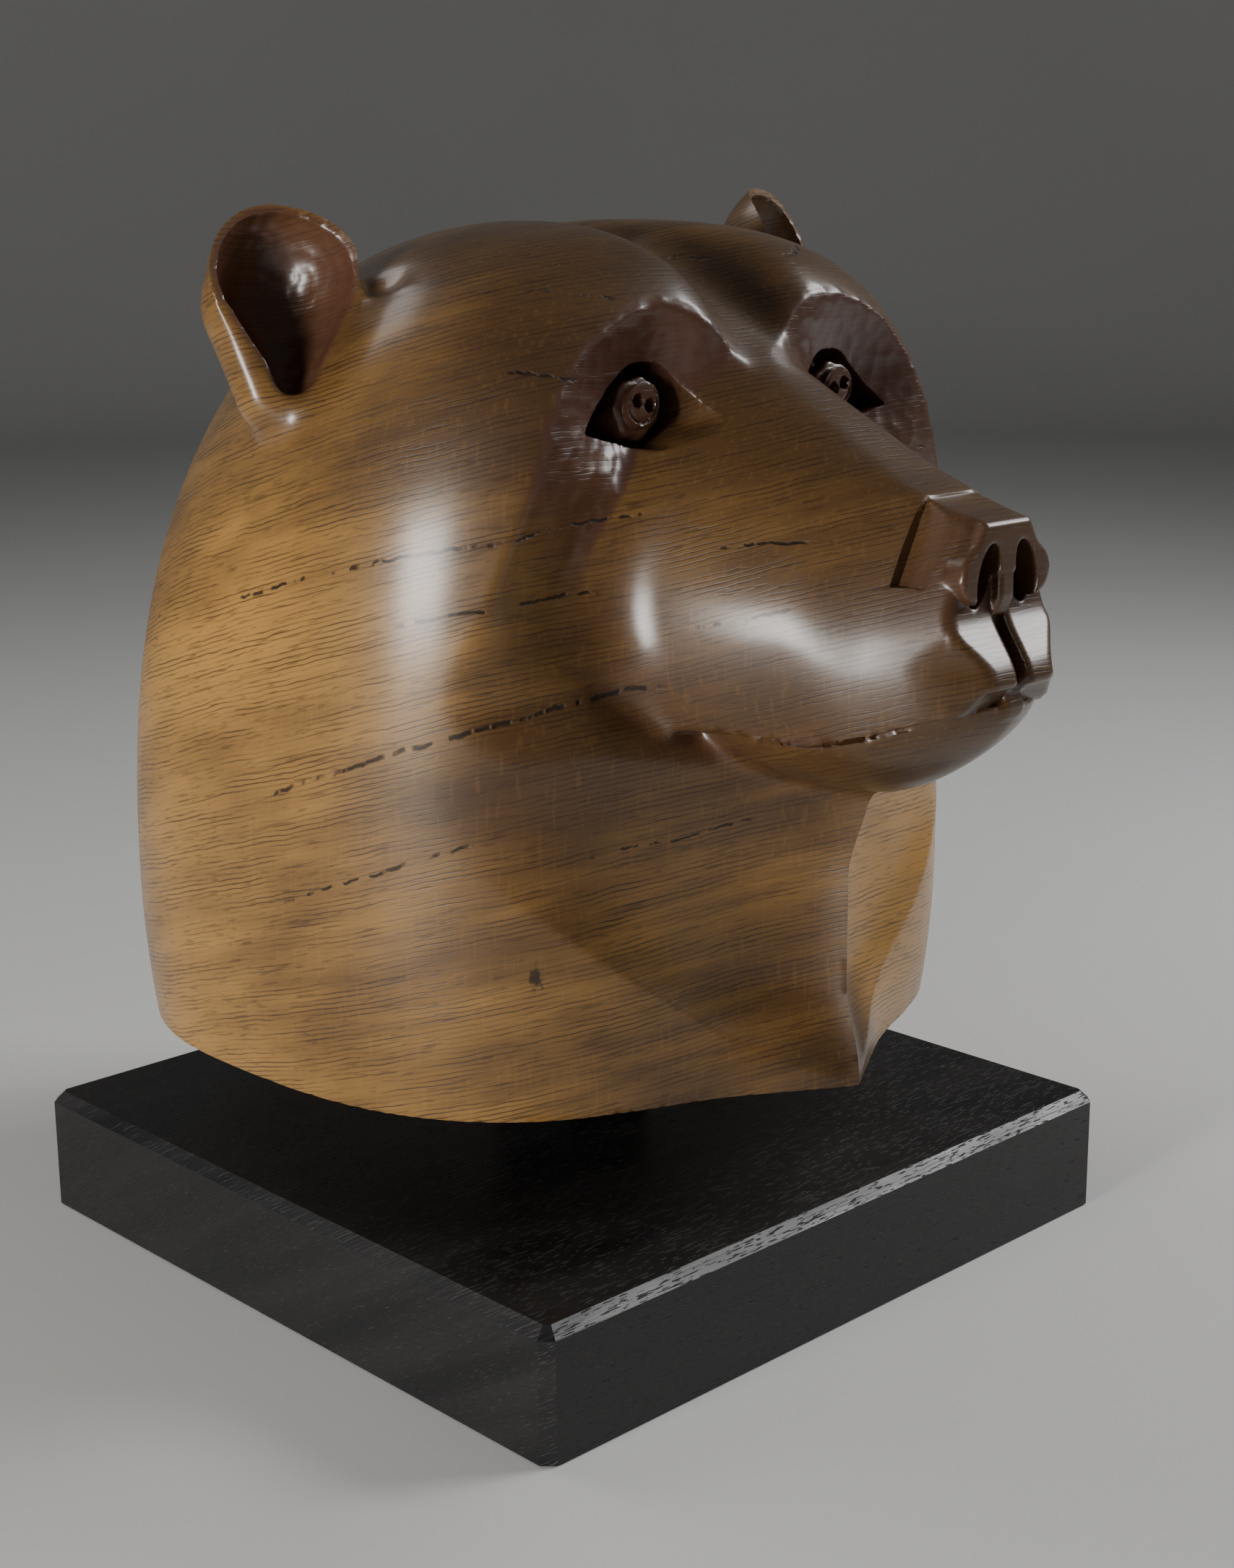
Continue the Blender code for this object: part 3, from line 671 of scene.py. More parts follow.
@dataclass(frozen=True)
class BearForm:
    """The carving as one field, negative inside the wood."""

    skull: Skull = field(default_factory=Skull)
    throat: Throat = field(default_factory=Throat)
    face: Face = field(default_factory=Face)
    muzzle: Muzzle = field(default_factory=Muzzle)
    ear: Ear = field(default_factory=Ear)

    def parts(self, points: np.ndarray) -> Parts:
        """Field of the whole head and of the parts that the finish follows.

        Args:
            points: Places in marks, one to a row.

        Returns:
            The fields there.
        """
        x = np.abs(points[:, 0])
        y = points[:, 1]
        z = points[:, 2]
        spot = (x, y, z)
        left = ramp(points[:, 0], -20.0, 20.0)
        eye = self.face.eye
        body = self.skull.form(spot) + self.skull.furrow(spot)
        behind = (self.face.depth(x, z, left) - y) * 0.95 - 80.0 * ramp(z, 170.0, 85.0)
        softness = self.face.rim_fade_radius - self.face.rim_radius
        body = common(body, behind, self.face.rim_radius + softness * ramp(z, 218.0, 165.0))
        body = joined(body, self.throat.keel(spot), 12.0) + self.throat.flats(spot)
        shell, cup, run_out = self.ear.form(spot, left)
        body = joined(body, shell, self.ear.root_radius) + self.ear.dimple(spot)
        body = common(body, -cup, run_out)
        snout = self.muzzle.form(spot)
        blend = 8.0 + 18.0 * ramp(z, 150.0, 190.0) - 12.0 * ramp(z, 235.0, 275.0)
        body = joined(body, snout, blend)
        trim = joined(behind, snout, 10.0 + 14.0 * ramp(z, 275.0, 235.0))
        trimmed = common(body, trim, self.face.rim_radius)
        body = trimmed + (body - trimmed) * ramp(z, 242.0, 178.0)
        socket = common(eye.opening(x, z), y - eye.floor_y, 1.0)
        body = common(body, -socket, 0.8)
        body = joined(body, eye.stalk(spot), 1.0)
        return Parts(common(body, -z, 0.8), behind, cup, snout)

    def at(self, points: np.ndarray) -> np.ndarray:
        """Field of the whole head at many places, worked out on all cores.

        Args:
            points: Places in marks, one to a row.

        Returns:
            Signed distances, negative inside.
        """
        pieces = np.array_split(points, max(1, len(points) // 12000))
        with ThreadPoolExecutor(4) as pool:
            return np.concatenate(list(pool.map(lambda piece: self.parts(piece).whole, pieces)))

    def slope(self, points: np.ndarray, step: float = 0.25) -> np.ndarray:
        """Gradient of the field.

        Args:
            points: Places in marks, one to a row.
            step: Distance over which it is measured.

        Returns:
            One gradient to a row.
        """
        corners = np.array([(1, -1, -1), (-1, -1, 1), (-1, 1, -1), (1, 1, 1)], float)
        return sum(self.at(points + c * step)[:, None] * c for c in corners) / (4.0 * step)

    def onto(self, points: np.ndarray, rounds: int, reach: float = 3.0) -> tuple[np.ndarray, np.ndarray]:
        """Moves places onto the surface by short steps.

        Args:
            points: Places in marks, one to a row.
            rounds: Number of steps.
            reach: Longest step.

        Returns:
            The places on the surface and the outward normals there.
        """
        points = points.copy()
        slope = np.zeros_like(points)
        for _ in range(rounds):
            slope = self.slope(points)
            square = np.maximum((slope ** 2).sum(axis=1), 0.04)
            step = np.clip(self.at(points), -reach, reach) / square
            points -= slope * step[:, None]
        return points, unit(slope)


def hashed(cells: np.ndarray, salt: int) -> np.ndarray:
    """A steady random number for each cell of a grid.

    Args:
        cells: Whole-number places, one to a row.
        salt: Picks another set of numbers.

    Returns:
        Numbers from 0 to 1.
    """
    grid = cells.astype(np.int64)
    mixed = (grid[:, 0] * 73856093) ^ (grid[:, 1] * 19349663) ^ (grid[:, 2] * 83492791)
    mixed = mixed ^ (salt * 2654435761)
    mixed = (mixed ^ (mixed >> 13)) * 1274126177
    return ((mixed ^ (mixed >> 16)) & 0xFFFFFF) / float(0xFFFFFF)


@dataclass(frozen=True)
class GougeMarks:
    """Shallow scallops left by a small gouge, one beside the other."""

    spacing: float = 7.5
    depth: float = 0.55

    def scallops(self, points: np.ndarray) -> np.ndarray:
        """Depth of the scallops.

        Args:
            points: Places in marks, one to a row.

        Returns:
            Depth in marks, deepest in the middle of each scallop.
        """
        cells = np.floor(points / self.spacing)
        nearest = np.full(len(points), 9.0)
        for shift in np.ndindex(3, 3, 3):
            around = cells + (np.array(shift) - 1)
            jitter = np.stack([hashed(around, salt) for salt in (1, 2, 3)], axis=1)
            apart = np.linalg.norm(points / self.spacing - around - 0.15 - 0.7 * jitter, axis=1)
            nearest = np.minimum(nearest, apart)
        return self.depth * np.maximum(1.0 - (nearest / 0.75) ** 2, -0.4)


@dataclass(frozen=True)
class FineZone:
    """A stretch of the head, on both sides, whose skin is made finer before it is drawn onto the form."""

    centre: Vec3
    half: Vec3
    edge: float

    def holds(self, points: np.ndarray, spare: float = 0.0) -> np.ndarray:
        """Which places lie in the zone.

        Args:
            points: Places in marks, one to a row.
            spare: How much wider the zone is taken.

        Returns:
            True for each place inside.
        """
        mirrored = np.stack([np.abs(points[:, 0]), points[:, 1], points[:, 2]], axis=1)
        return (np.abs(mirrored - np.array(self.centre)) < np.array(self.half) + spare).all(axis=1)


@dataclass
class BearHead:
    """The carved oak head: a fine skin over the solid, drawn onto the form and worked with the gouge."""

    form: BearForm = field(default_factory=BearForm)
    marks: GougeMarks = field(default_factory=GougeMarks)
    cell: float = 0.0026
    triangles: int = 190000
    crisp_angle: float = 38.0
    ring_zone: FineZone = FineZone((58.0, -108.0, 279.0), (12.0, 8.0, 14.0), 1.0)
    ring_share: float = 0.3
    worked_within: float = 1.6
    stained_within: float = 1.3
    left_ear_share: float = 0.35
    nose_share: float = 0.4
    # How far out and how strongly the painted crease shade is measured.
    crease_shade_reaches: tuple[tuple[float, float], ...] = ((2.5, 0.35), (6.0, 0.35), (14.0, 0.3))
    crease_shade_gain: float = 1.6
    zones: tuple[FineZone, ...] = (
        FineZone((60.0, -105.0, 280.0), (52.0, 30.0, 46.0), 1.9),
        FineZone((0.0, -236.0, 208.0), (44.0, 32.0, 50.0), 1.9),
        FineZone((143.0, 6.0, 322.0), (38.0, 34.0, 54.0), 1.9),
        FineZone((58.0, -105.0, 279.0), (15.0, 12.0, 17.0), 1.0),
        FineZone((0.0, -245.0, 215.0), (24.0, 16.0, 26.0), 1.2),
    )

    def places(self, data: bpy.types.Mesh) -> np.ndarray:
        """Vertices of a mesh in marks.

        Args:
            data: The mesh.

        Returns:
            One place to a row.
        """
        flat = np.empty(len(data.vertices) * 3)
        data.vertices.foreach_get("co", flat)
        return (flat.reshape(-1, 3) - np.array([0.0, 0.0, HEAD_BASE])) / MARK

    def put(self, data: bpy.types.Mesh, places: np.ndarray) -> None:
        """Writes vertices given in marks back to a mesh.

        Args:
            data: The mesh.
            places: One place to a vertex.
        """
        data.vertices.foreach_set("co", (places * MARK + np.array([0.0, 0.0, HEAD_BASE])).ravel())
        data.update()

    def skin(self) -> bpy.types.Object:
        """An even closed skin over a copy of the solid head.

        Returns:
            The new object, at the origin.
        """
        mesh = bmesh.new()
        mesh.from_mesh(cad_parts["bear_head"].data)
        bmesh.ops.remove_doubles(mesh, verts=mesh.verts, dist=1e-6)
        head = turned_into(mesh, "bear_head_carved")
        apply_modifier(head, "REMESH", mode="VOXEL", voxel_size=self.cell)
        return head

    def settle(self, data: bpy.types.Mesh, rounds: int, moving: np.ndarray, pull: float = 0.12) -> None:
        """Draws vertices to where the form's own flats meet, so that creases and rims stay crisp.

        Args:
            data: The mesh.
            rounds: Number of passes.
            moving: True for each vertex that may move.
            pull: How strongly a vertex keeps to the middle of its faces.
        """
        corners = listed(data.loops, "vertex_index")
        sizes = listed(data.polygons, "loop_total")
        faces = np.repeat(np.arange(len(sizes)), sizes)
        touched = np.zeros(len(sizes), dtype=bool)
        touched[faces[moving[corners]]] = True
        kept = touched[faces]
        corners = corners[kept]
        number = np.cumsum(touched) - 1
        faces = number[faces[kept]]
        sizes = sizes[touched]
        places = self.places(data)
        count = len(places)
        places[moving] = self.form.onto(places[moving], 3)[0]
        share = np.maximum(np.bincount(corners, minlength=count), 1)[:, None]
        edge = np.median(np.linalg.norm(places[corners] - places[np.roll(corners, 1)], axis=1))
        for _ in range(rounds):
            middles = np.stack([np.bincount(faces, places[corners, k]) / sizes for k in range(3)], axis=1)
            middles, normals = self.form.onto(middles, 2)
            towards = normals[faces]
            offset = (towards * middles[faces]).sum(axis=1)
            sums = [np.bincount(corners, middles[faces, k], count) for k in range(3)]
            mean = np.stack(sums, axis=1) / share
            matrix = np.zeros((count, 3, 3))
            target = np.zeros((count, 3))
            for a in range(3):
                target[:, a] = np.bincount(corners, towards[:, a] * offset, count) + pull * mean[:, a]
                for b in range(3):
                    matrix[:, a, b] = np.bincount(corners, towards[:, a] * towards[:, b], count)
                matrix[:, a, a] += pull
            step = np.linalg.solve(matrix, target[:, :, None])[:, :, 0] - mean
            length = np.maximum(np.linalg.norm(step, axis=1), 1e-9)
            drawn = mean + step * np.minimum(1.0, edge / length)[:, None]
            places[moving] = drawn[moving]
        self.put(data, places)

    def refine(self, head: bpy.types.Object, zone: FineZone) -> None:
        """Splits the long edges in a zone and settles what is new there.

        Args:
            head: The head.
            zone: Where to work, and how fine.
        """
        mesh = bmesh.new()
        mesh.from_mesh(head.data)
        lift = Vector((0.0, 0.0, HEAD_BASE))
        middles = np.array([(e.verts[0].co + e.verts[1].co) / 2.0 - lift for e in mesh.edges]) / MARK
        lengths = np.array([e.calc_length() for e in mesh.edges]) / MARK
        chosen = zone.holds(middles) & (lengths > zone.edge)
        mesh.edges.ensure_lookup_table()
        edges = [mesh.edges[i] for i in np.flatnonzero(chosen)]
        bmesh.ops.subdivide_edges(mesh, edges=edges, cuts=1, use_grid_fill=True)
        mesh.to_mesh(head.data)
        mesh.free()
        self.settle(head.data, 3, zone.holds(self.places(head.data), 3.0))

    def pierce(self, data: bpy.types.Mesh) -> None:
        """Sinks the holes and the groove into the ring of each eye.

        Args:
            data: The mesh.
        """
        places = self.places(data)
        depth = self.form.face.eye.pits((np.abs(places[:, 0]), places[:, 1], places[:, 2]))
        places[:, 1] += depth * self.ring_zone.holds(places)
        self.put(data, places)

    def work(self, data: bpy.types.Mesh) -> None:
        """Presses the gouge's scallops into the sockets and the cups of the ears.

        Args:
            data: The mesh.
        """
        places = self.places(data)
        amount = self.stain(places, self.worked_within) * (1.0 - ramp(places[:, 1], -205.0, -215.0))
        amount = amount * np.where(self.ring_zone.holds(places), self.ring_share, 1.0)
        reached = amount > 0.02
        normals = unit(self.form.slope(places[reached]))
        depth = self.marks.scallops(places[reached]) * amount[reached]
        places[reached] -= normals * depth[:, None]
        self.put(data, places)

    def stain(self, places: np.ndarray, nearness: float) -> np.ndarray:
        """How far each place lies in the darker, glossier cuts: sockets, ear cups and nose.

        Args:
            places: Places in marks, one to a row.
            nearness: How close to the cut's own surface counts, in marks.

        Returns:
            Numbers from 0 to 1.
        """
        x = np.abs(places[:, 0])
        y = places[:, 1]
        z = places[:, 2]
        parts = self.form.parts(places)
        eye = self.form.face.eye
        on_face = ramp(np.abs(parts.face), nearness * 2.0, nearness) + (eye.opening(x, z) < 1.0)
        apart = np.hypot((x - eye.x - 6.0) / 1.1, (z - eye.z + 4.0) * np.where(z < eye.z, 0.8, 1.0))
        near_eye = (y > -150.0) * (y < -60.0) * (z > 205.0)
        socket = np.minimum(on_face, 1.0) * ramp(apart, 72.0, 40.0) * near_eye
        socket = socket * ramp(parts.snout, 0.5, 7.0)
        ear = ramp(np.abs(parts.cup), nearness * 2.0, nearness) * (z > 262.0) * (np.abs(y) < 60.0)
        ear = ear * np.where(places[:, 0] > 0.0, self.left_ear_share, 1.0)
        nose = self.nose_share * ramp(y, -219.0, -224.0) * ramp(z, 196.0, 206.0)
        return np.clip(np.maximum(np.maximum(socket, ear), nose), 0.0, 1.0)

    def wax_and_crease_shade(self, places: np.ndarray) -> np.ndarray:
        """How shut in each place is: painted shade that darkens creases and hollows, also standing for wax
        gathered there.

        Args:
            places: Places in marks, one to a row.

        Returns:
            Numbers from 0 in the open to 1 deep in a crease.
        """
        normals = unit(self.form.slope(places))
        shut = np.zeros(len(places))
        for reach, weight in self.crease_shade_reaches:
            room = np.clip(self.form.at(places + normals * reach) / reach, 0.0, 1.0)
            shut += weight * (1.0 - room)
        return np.clip(shut * self.crease_shade_gain, 0.0, 1.0)

    def build(self) -> bpy.types.Object:
        """Makes the head.

        Returns:
            The finished head, in place of its plain solid.
        """
        head = self.skin()
        self.settle(head.data, 3, np.ones(len(head.data.vertices), dtype=bool))
        for zone in self.zones:
            self.refine(head, zone)
        self.pierce(head.data)
        self.work(head.data)
        apply_modifier(head, "TRIANGULATE")
        ratio = min(1.0, self.triangles / len(head.data.polygons))
        apply_modifier(head, "DECIMATE", ratio=ratio)
        data = head.data
        places = self.places(data)
        # Stain of the cuts, and painted shade in creases that also stands for wax.
        masks = {"stain": self.stain(places, self.stained_within), "wax_and_crease_shade": self.wax_and_crease_shade(places)}
        for name, values in masks.items():
            data.attributes.new(name, "FLOAT", "POINT").data.foreach_set("value", values.astype(np.float32))
        data.shade_smooth()
        data.set_sharp_from_angle(angle=math.radians(self.crisp_angle))
        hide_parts("bear_head")
        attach(head, "root")
        report(head)
        return head


def listed(items: bpy.types.bpy_prop_collection, name: str) -> np.ndarray:
    """Whole numbers kept by the items of a mesh.

    Args:
        items: Its loops or polygons.
        name: Which number is read.

    Returns:
        One number for each item.
    """
    values = np.empty(len(items), dtype=np.int64)
    items.foreach_get(name, values)
    return values


def placed(name: str, data: bpy.types.ID) -> bpy.types.Object:
    """Puts a new object into the scene.

    Args:
        name: Its name.
        data: Its mesh, light or camera.

    Returns:
        The object.
    """
    made = bpy.data.objects.new(name, data)
    bpy.context.scene.collection.objects.link(made)
    return made


def turned_into(mesh: bmesh.types.BMesh, name: str) -> bpy.types.Object:
    """Turns an edited mesh into an object in the scene, and frees it.

    Args:
        mesh: The edited mesh.
        name: Name of the object and its data.

    Returns:
        The object.
    """
    data = bpy.data.meshes.new(name)
    mesh.to_mesh(data)
    mesh.free()
    return placed(name, data)


def apply_modifier(obj: bpy.types.Object, kind: str, **settings: float | str | bool) -> None:
    """Adds one modifier and applies it.

    Args:
        obj: The object.
        kind: Type of the modifier.
        settings: Its values.
    """
    modifier = obj.modifiers.new(kind.title(), kind)
    for key, value in settings.items():
        setattr(modifier, key, value)
    bpy.context.view_layer.update()
    shaped = bpy.data.meshes.new_from_object(obj.evaluated_get(bpy.context.evaluated_depsgraph_get()))
    obj.modifiers.clear()
    old = obj.data
    obj.data = shaped
    bpy.data.meshes.remove(old)


def report(piece: bpy.types.Object) -> None:
    """Logs a piece and how many faces it has."""
    LOG.info("%s: %d faces", piece.name, len(piece.data.polygons))


class Graph:
    """Short way of laying out the nodes of one material or group."""

    def __init__(self, tree: bpy.types.ShaderNodeTree) -> None:
        """Keeps the tree that is laid out."""
        self.tree = tree

    def node(self, kind: str, **settings: str | bool | int | float) -> bpy.types.Node:
        """Adds a node.

        Args:
            kind: Its type, after ShaderNode.
            settings: Its options.

        Returns:
            The node.
        """
        made = self.tree.nodes.new("ShaderNode" + kind)
        for key, value in settings.items():
            setattr(made, key, value)
        return made

    def feed(self, socket: Socket, value: Value | Vec3) -> None:
        """Links a socket to a socket, or sets its value.

        Args:
            socket: The socket that is fed.
            value: Another socket, or the value itself.
        """
        if isinstance(value, Socket):
            self.tree.links.new(value, socket)
        else:
            socket.default_value = value

    def fill(self, node: bpy.types.Node, values: dict[str, Value | tuple]) -> None:
        """Feeds sockets of a node by their names."""
        for name, value in values.items():
            self.feed(node.inputs[name], value)

    def math(self, operation: str, a: Value, b: Value = 0.0, clamp: bool = False) -> Socket:
        """Works out a number.

        Args:
            operation: Name of the sum.
            a: First number.
            b: Second number.
            clamp: Whether the answer stays between 0 and 1.

        Returns:
            The answer.
        """
        made = self.node("Math", operation=operation, use_clamp=clamp)
        self.feed(made.inputs[0], a)
        self.feed(made.inputs[1], b)
        return made.outputs[0]

    def plus(self, a: Value, b: Value, clamp: bool = False) -> Socket:
        """Sum of two numbers."""
        return self.math("ADD", a, b, clamp)

    def minus(self, a: Value, b: Value, clamp: bool = False) -> Socket:
        """First number less the second."""
        return self.math("SUBTRACT", a, b, clamp)

    def times(self, a: Value, b: Value) -> Socket:
        """Product of two numbers."""
        return self.math("MULTIPLY", a, b)

    def parted(self, vector: Socket) -> bpy.types.bpy_prop_collection:
        """Takes a vector apart.

        Args:
            vector: The vector.

        Returns:
            Its three numbers.
        """
        made = self.node("SeparateXYZ")
        self.feed(made.inputs[0], vector)
        return made.outputs

    def gathered(self, x: Value, y: Value, z: Value) -> Socket:
        """Makes a vector of three numbers.

        Args:
            x: First number.
            y: Second number.
            z: Third number.

        Returns:
            The vector.
        """
        made = self.node("CombineXYZ")
        for socket, value in zip(made.inputs, (x, y, z)):
            self.feed(socket, value)
        return made.outputs[0]

    def remap(self, value: Value, low: Value, high: Value, first: float = 0.0,
              last: float = 1.0) -> Socket:
        """Grades a number smoothly from one range to another.

        Args:
            value: The number.
            low: Where the answer is first.
            high: Where the answer is last.
            first: Answer at low.
            last: Answer at high.

        Returns:
            The graded number.
        """
        made = self.node("MapRange", interpolation_type="SMOOTHSTEP")
        for socket, given in zip(made.inputs[:5], (value, low, high, first, last)):
            self.feed(socket, given)
        return made.outputs[0]

    def stretch(self, vector: Socket, factors: Value | Vec3) -> Socket:
        """Scales a vector along its three axes.

        Args:
            vector: The vector.
            factors: Scale along each axis.

        Returns:
            The scaled vector.
        """
        made = self.node("VectorMath", operation="MULTIPLY")
        self.feed(made.inputs[0], vector)
        self.feed(made.inputs[1], factors)
        return made.outputs[0]

    def noise(self, vector: Socket, scale: float, detail: float = 2.0,
              roughness: float = 0.5) -> Socket:
        """Cloudy noise.

        Args:
            vector: Where it is read.
            scale: Clouds to a unit.
            detail: Finer layers.
            roughness: Strength of the finer layers.

        Returns:
            Numbers from 0 to 1.
        """
        made = self.node("TexNoise")
        self.fill(made, {"Vector": vector, "Scale": scale, "Detail": detail, "Roughness": roughness})
        return made.outputs["Fac"]

    def clouds(self, vector: Socket, factors: Value | Vec3, detail: float = 2.0,
               roughness: float = 0.5) -> Socket:
        """Cloudy noise with its own scale along each axis."""
        return self.noise(self.stretch(vector, factors), 1.0, detail, roughness)

    def mix(self, factor: Value, a: Value | tuple, b: Value | tuple,
            blend: str = "MIX") -> Socket:
        """Mixes two colours.

        Args:
            factor: Share of the second.
            a: First colour.
            b: Second colour.
            blend: How they mix.

        Returns:
            The colour.
        """
        made = self.node("Mix", data_type="RGBA", blend_type=blend)
        self.feed(made.inputs["Factor"], factor)
        self.feed(made.inputs[6], a)
        self.feed(made.inputs[7], b)
        return made.outputs[2]

    def bump(self, height: Socket, strength: float, distance: float,
             under: Socket | None = None) -> Socket:
        """Bends the shading normal by a height.

        Args:
            height: The height.
            strength: Share of the effect.
            distance: Height of one unit in metres.
            under: Normal it starts from.

        Returns:
            The normal.
        """
        made = self.node("Bump")
        self.fill(made, {"Strength": strength, "Distance": distance, "Height": height})
        if under is not None:
            self.feed(made.inputs["Normal"], under)
        return made.outputs["Normal"]


class Side(Enum):
    """Side of the head that a crack runs on."""

    RIGHT = 1.0
    LEFT = -1.0


@dataclass(frozen=True)
class Crack:
    """A drying crack: its line climbs and bends along the way round the head, measured in marks."""

    level: float
    slope: float
    curve: float
    start: float
    end: float
    width: float = 0.9
    side: Side = Side.RIGHT


def new_group(name: str, inputs: tuple[str, ...], outputs: tuple[str, ...]) -> bpy.types.ShaderNodeTree:
    """Starts a node group that is read at a place.

    Args:
        name: Its name.
        inputs: Names of the numbers it takes beside the place.
        outputs: Names of the numbers it puts out.

    Returns:
        The empty group.
    """
    tree = bpy.data.node_groups.new(name, "ShaderNodeTree")
    tree.interface.new_socket(name="Place", in_out="INPUT", socket_type="NodeSocketVector")
    for way, labels in (("INPUT", inputs), ("OUTPUT", outputs)):
        for label in labels:
            tree.interface.new_socket(name=label, in_out=way, socket_type="NodeSocketFloat")
    return tree


class WoodFigure:
    """Growth lines, pores, ray flecks and clouds of a wood, built once and placed in each material."""

    def __init__(self) -> None:
        """Builds the group."""
        numbers = ("Spacing", "Waviness", "Pore Length")
        self.tree = new_group("wood_figure", numbers, ("Lines", "Pores", "Flecks", "Cloud"))
        graph = Graph(self.tree)
        given = self.tree.nodes.new("NodeGroupInput").outputs
        put = self.tree.nodes.new("NodeGroupOutput").inputs
        place = given["Place"]
        split = graph.parted(place)
        broad = graph.minus(graph.clouds(place, (11.0, 11.0, 8.0)), 0.5)
        fine = graph.minus(graph.clouds(place, (70.0, 70.0, 150.0)), 0.5)
        drift = graph.plus(graph.times(broad, 6.0), graph.times(fine, 1.8))
        height = graph.plus(split[2], graph.times(drift, given["Waviness"]))
        turns = graph.times(graph.math("DIVIDE", height, given["Spacing"]), 2.0 * math.pi)
        crest = graph.times(graph.plus(graph.math("SINE", turns), 1.0), 0.5)
        line = graph.math("POWER", crest, 6.0)
        fade = graph.remap(graph.clouds(place, (26.0, 26.0, 210.0)), 0.36, 0.66, 0.1, 1.0)
        graph.feed(put["Lines"], graph.times(line, fade))
        along = graph.math("DIVIDE", 1.0, given["Pore Length"])
        pores = graph.clouds(place, graph.gathered(along, along, 900.0), 1.0)
        graph.feed(put["Pores"], graph.remap(pores, 0.60, 0.70))
        flecks = graph.clouds(place, (520.0, 520.0, 60.0))
        graph.feed(put["Flecks"], graph.remap(flecks, 0.54, 0.72))
        graph.feed(put["Cloud"], graph.clouds(place, (12.0, 12.0, 26.0), 3.0, 0.55))

    def place(self, graph: Graph, place: Socket, spacing: float, waviness: float,
              pore_length: float) -> bpy.types.bpy_prop_collection:
        """Places the group in a material.

        Args:
            graph: The material's nodes.
            place: Where it is read, in metres, with z across the growth lines.
            spacing: Distance between growth lines.
            waviness: How far they stray.
            pore_length: Length of a pore.

        Returns:
            The group's outputs.
        """
        made = graph.node("Group", node_tree=self.tree)
        graph.fill(made, {"Place": place, "Spacing": spacing, "Waviness": waviness,
                          "Pore Length": pore_length})
        return made.outputs


class CrackLine:
    """One broken line of a drying crack, built once and placed for each crack."""

    def __init__(self) -> None:
        """Builds the group."""
        numbers = ("Side", "Level", "Slope", "Curve", "Start", "End", "Width")
        self.tree = new_group("crack_line", numbers, ("Open",))
        graph = Graph(self.tree)
        given = self.tree.nodes.new("NodeGroupInput").outputs
        put = self.tree.nodes.new("NodeGroupOutput").inputs
        place = given["Place"]
        split = graph.parted(place)
        inward = graph.times(split[0], given["Side"])
        way = graph.minus(inward, split[1])
        bend = graph.times(graph.times(way, way), given["Curve"])
        line = graph.plus(graph.plus(given["Level"], graph.times(way, given["Slope"])), bend)
        slow = graph.minus(graph.noise(place, 0.022, 1.0), 0.5)
        quick = graph.minus(graph.noise(place, 0.16, 2.0), 0.5)
        stray = graph.plus(graph.times(slow, 7.0), graph.times(quick, 3.2))
        apart = graph.math("ABSOLUTE", graph.minus(graph.plus(split[2], stray), line))
        broken = graph.clouds(place, (0.13, 0.13, 0.03))
        dash = graph.remap(broken, 0.44, 0.54)
        gap = graph.remap(apart, given["Width"], graph.times(given["Width"], 0.25))
        early = graph.remap(graph.minus(way, given["Start"]), 0.0, 10.0)
        late = graph.remap(graph.minus(given["End"], way), 0.0, 10.0)
        own_side = graph.remap(inward, 0.0, -6.0)
        ends = graph.times(graph.times(early, late), own_side)
        graph.feed(put["Open"], graph.times(graph.times(gap, dash), ends))

    def place(self, graph: Graph, place: Socket, crack: Crack) -> Socket:
        """Places one crack in a material.

        Args:
            graph: The material's nodes.
            place: Where it is read, in marks.
            crack: Its line.

        Returns:
            1 in the open crack and 0 beside it.
        """
        made = graph.node("Group", node_tree=self.tree)
        line = {"Level": crack.level, "Slope": crack.slope, "Curve": crack.curve}
        extent = {"Start": crack.start, "End": crack.end, "Width": crack.width, "Side": crack.side.value}
        graph.fill(made, {"Place": place, **line, **extent})
        return made.outputs["Open"]


def start_material(name: str) -> tuple[bpy.types.Material, Graph, bpy.types.Node]:
    """A new material with its nodes ready.

    Args:
        name: Its name.

    Returns:
        The material, its graph and its Principled shader.
    """
    material = bpy.data.materials.new(name)
    material.use_nodes = True
    return material, Graph(material.node_tree), material.node_tree.nodes["Principled BSDF"]


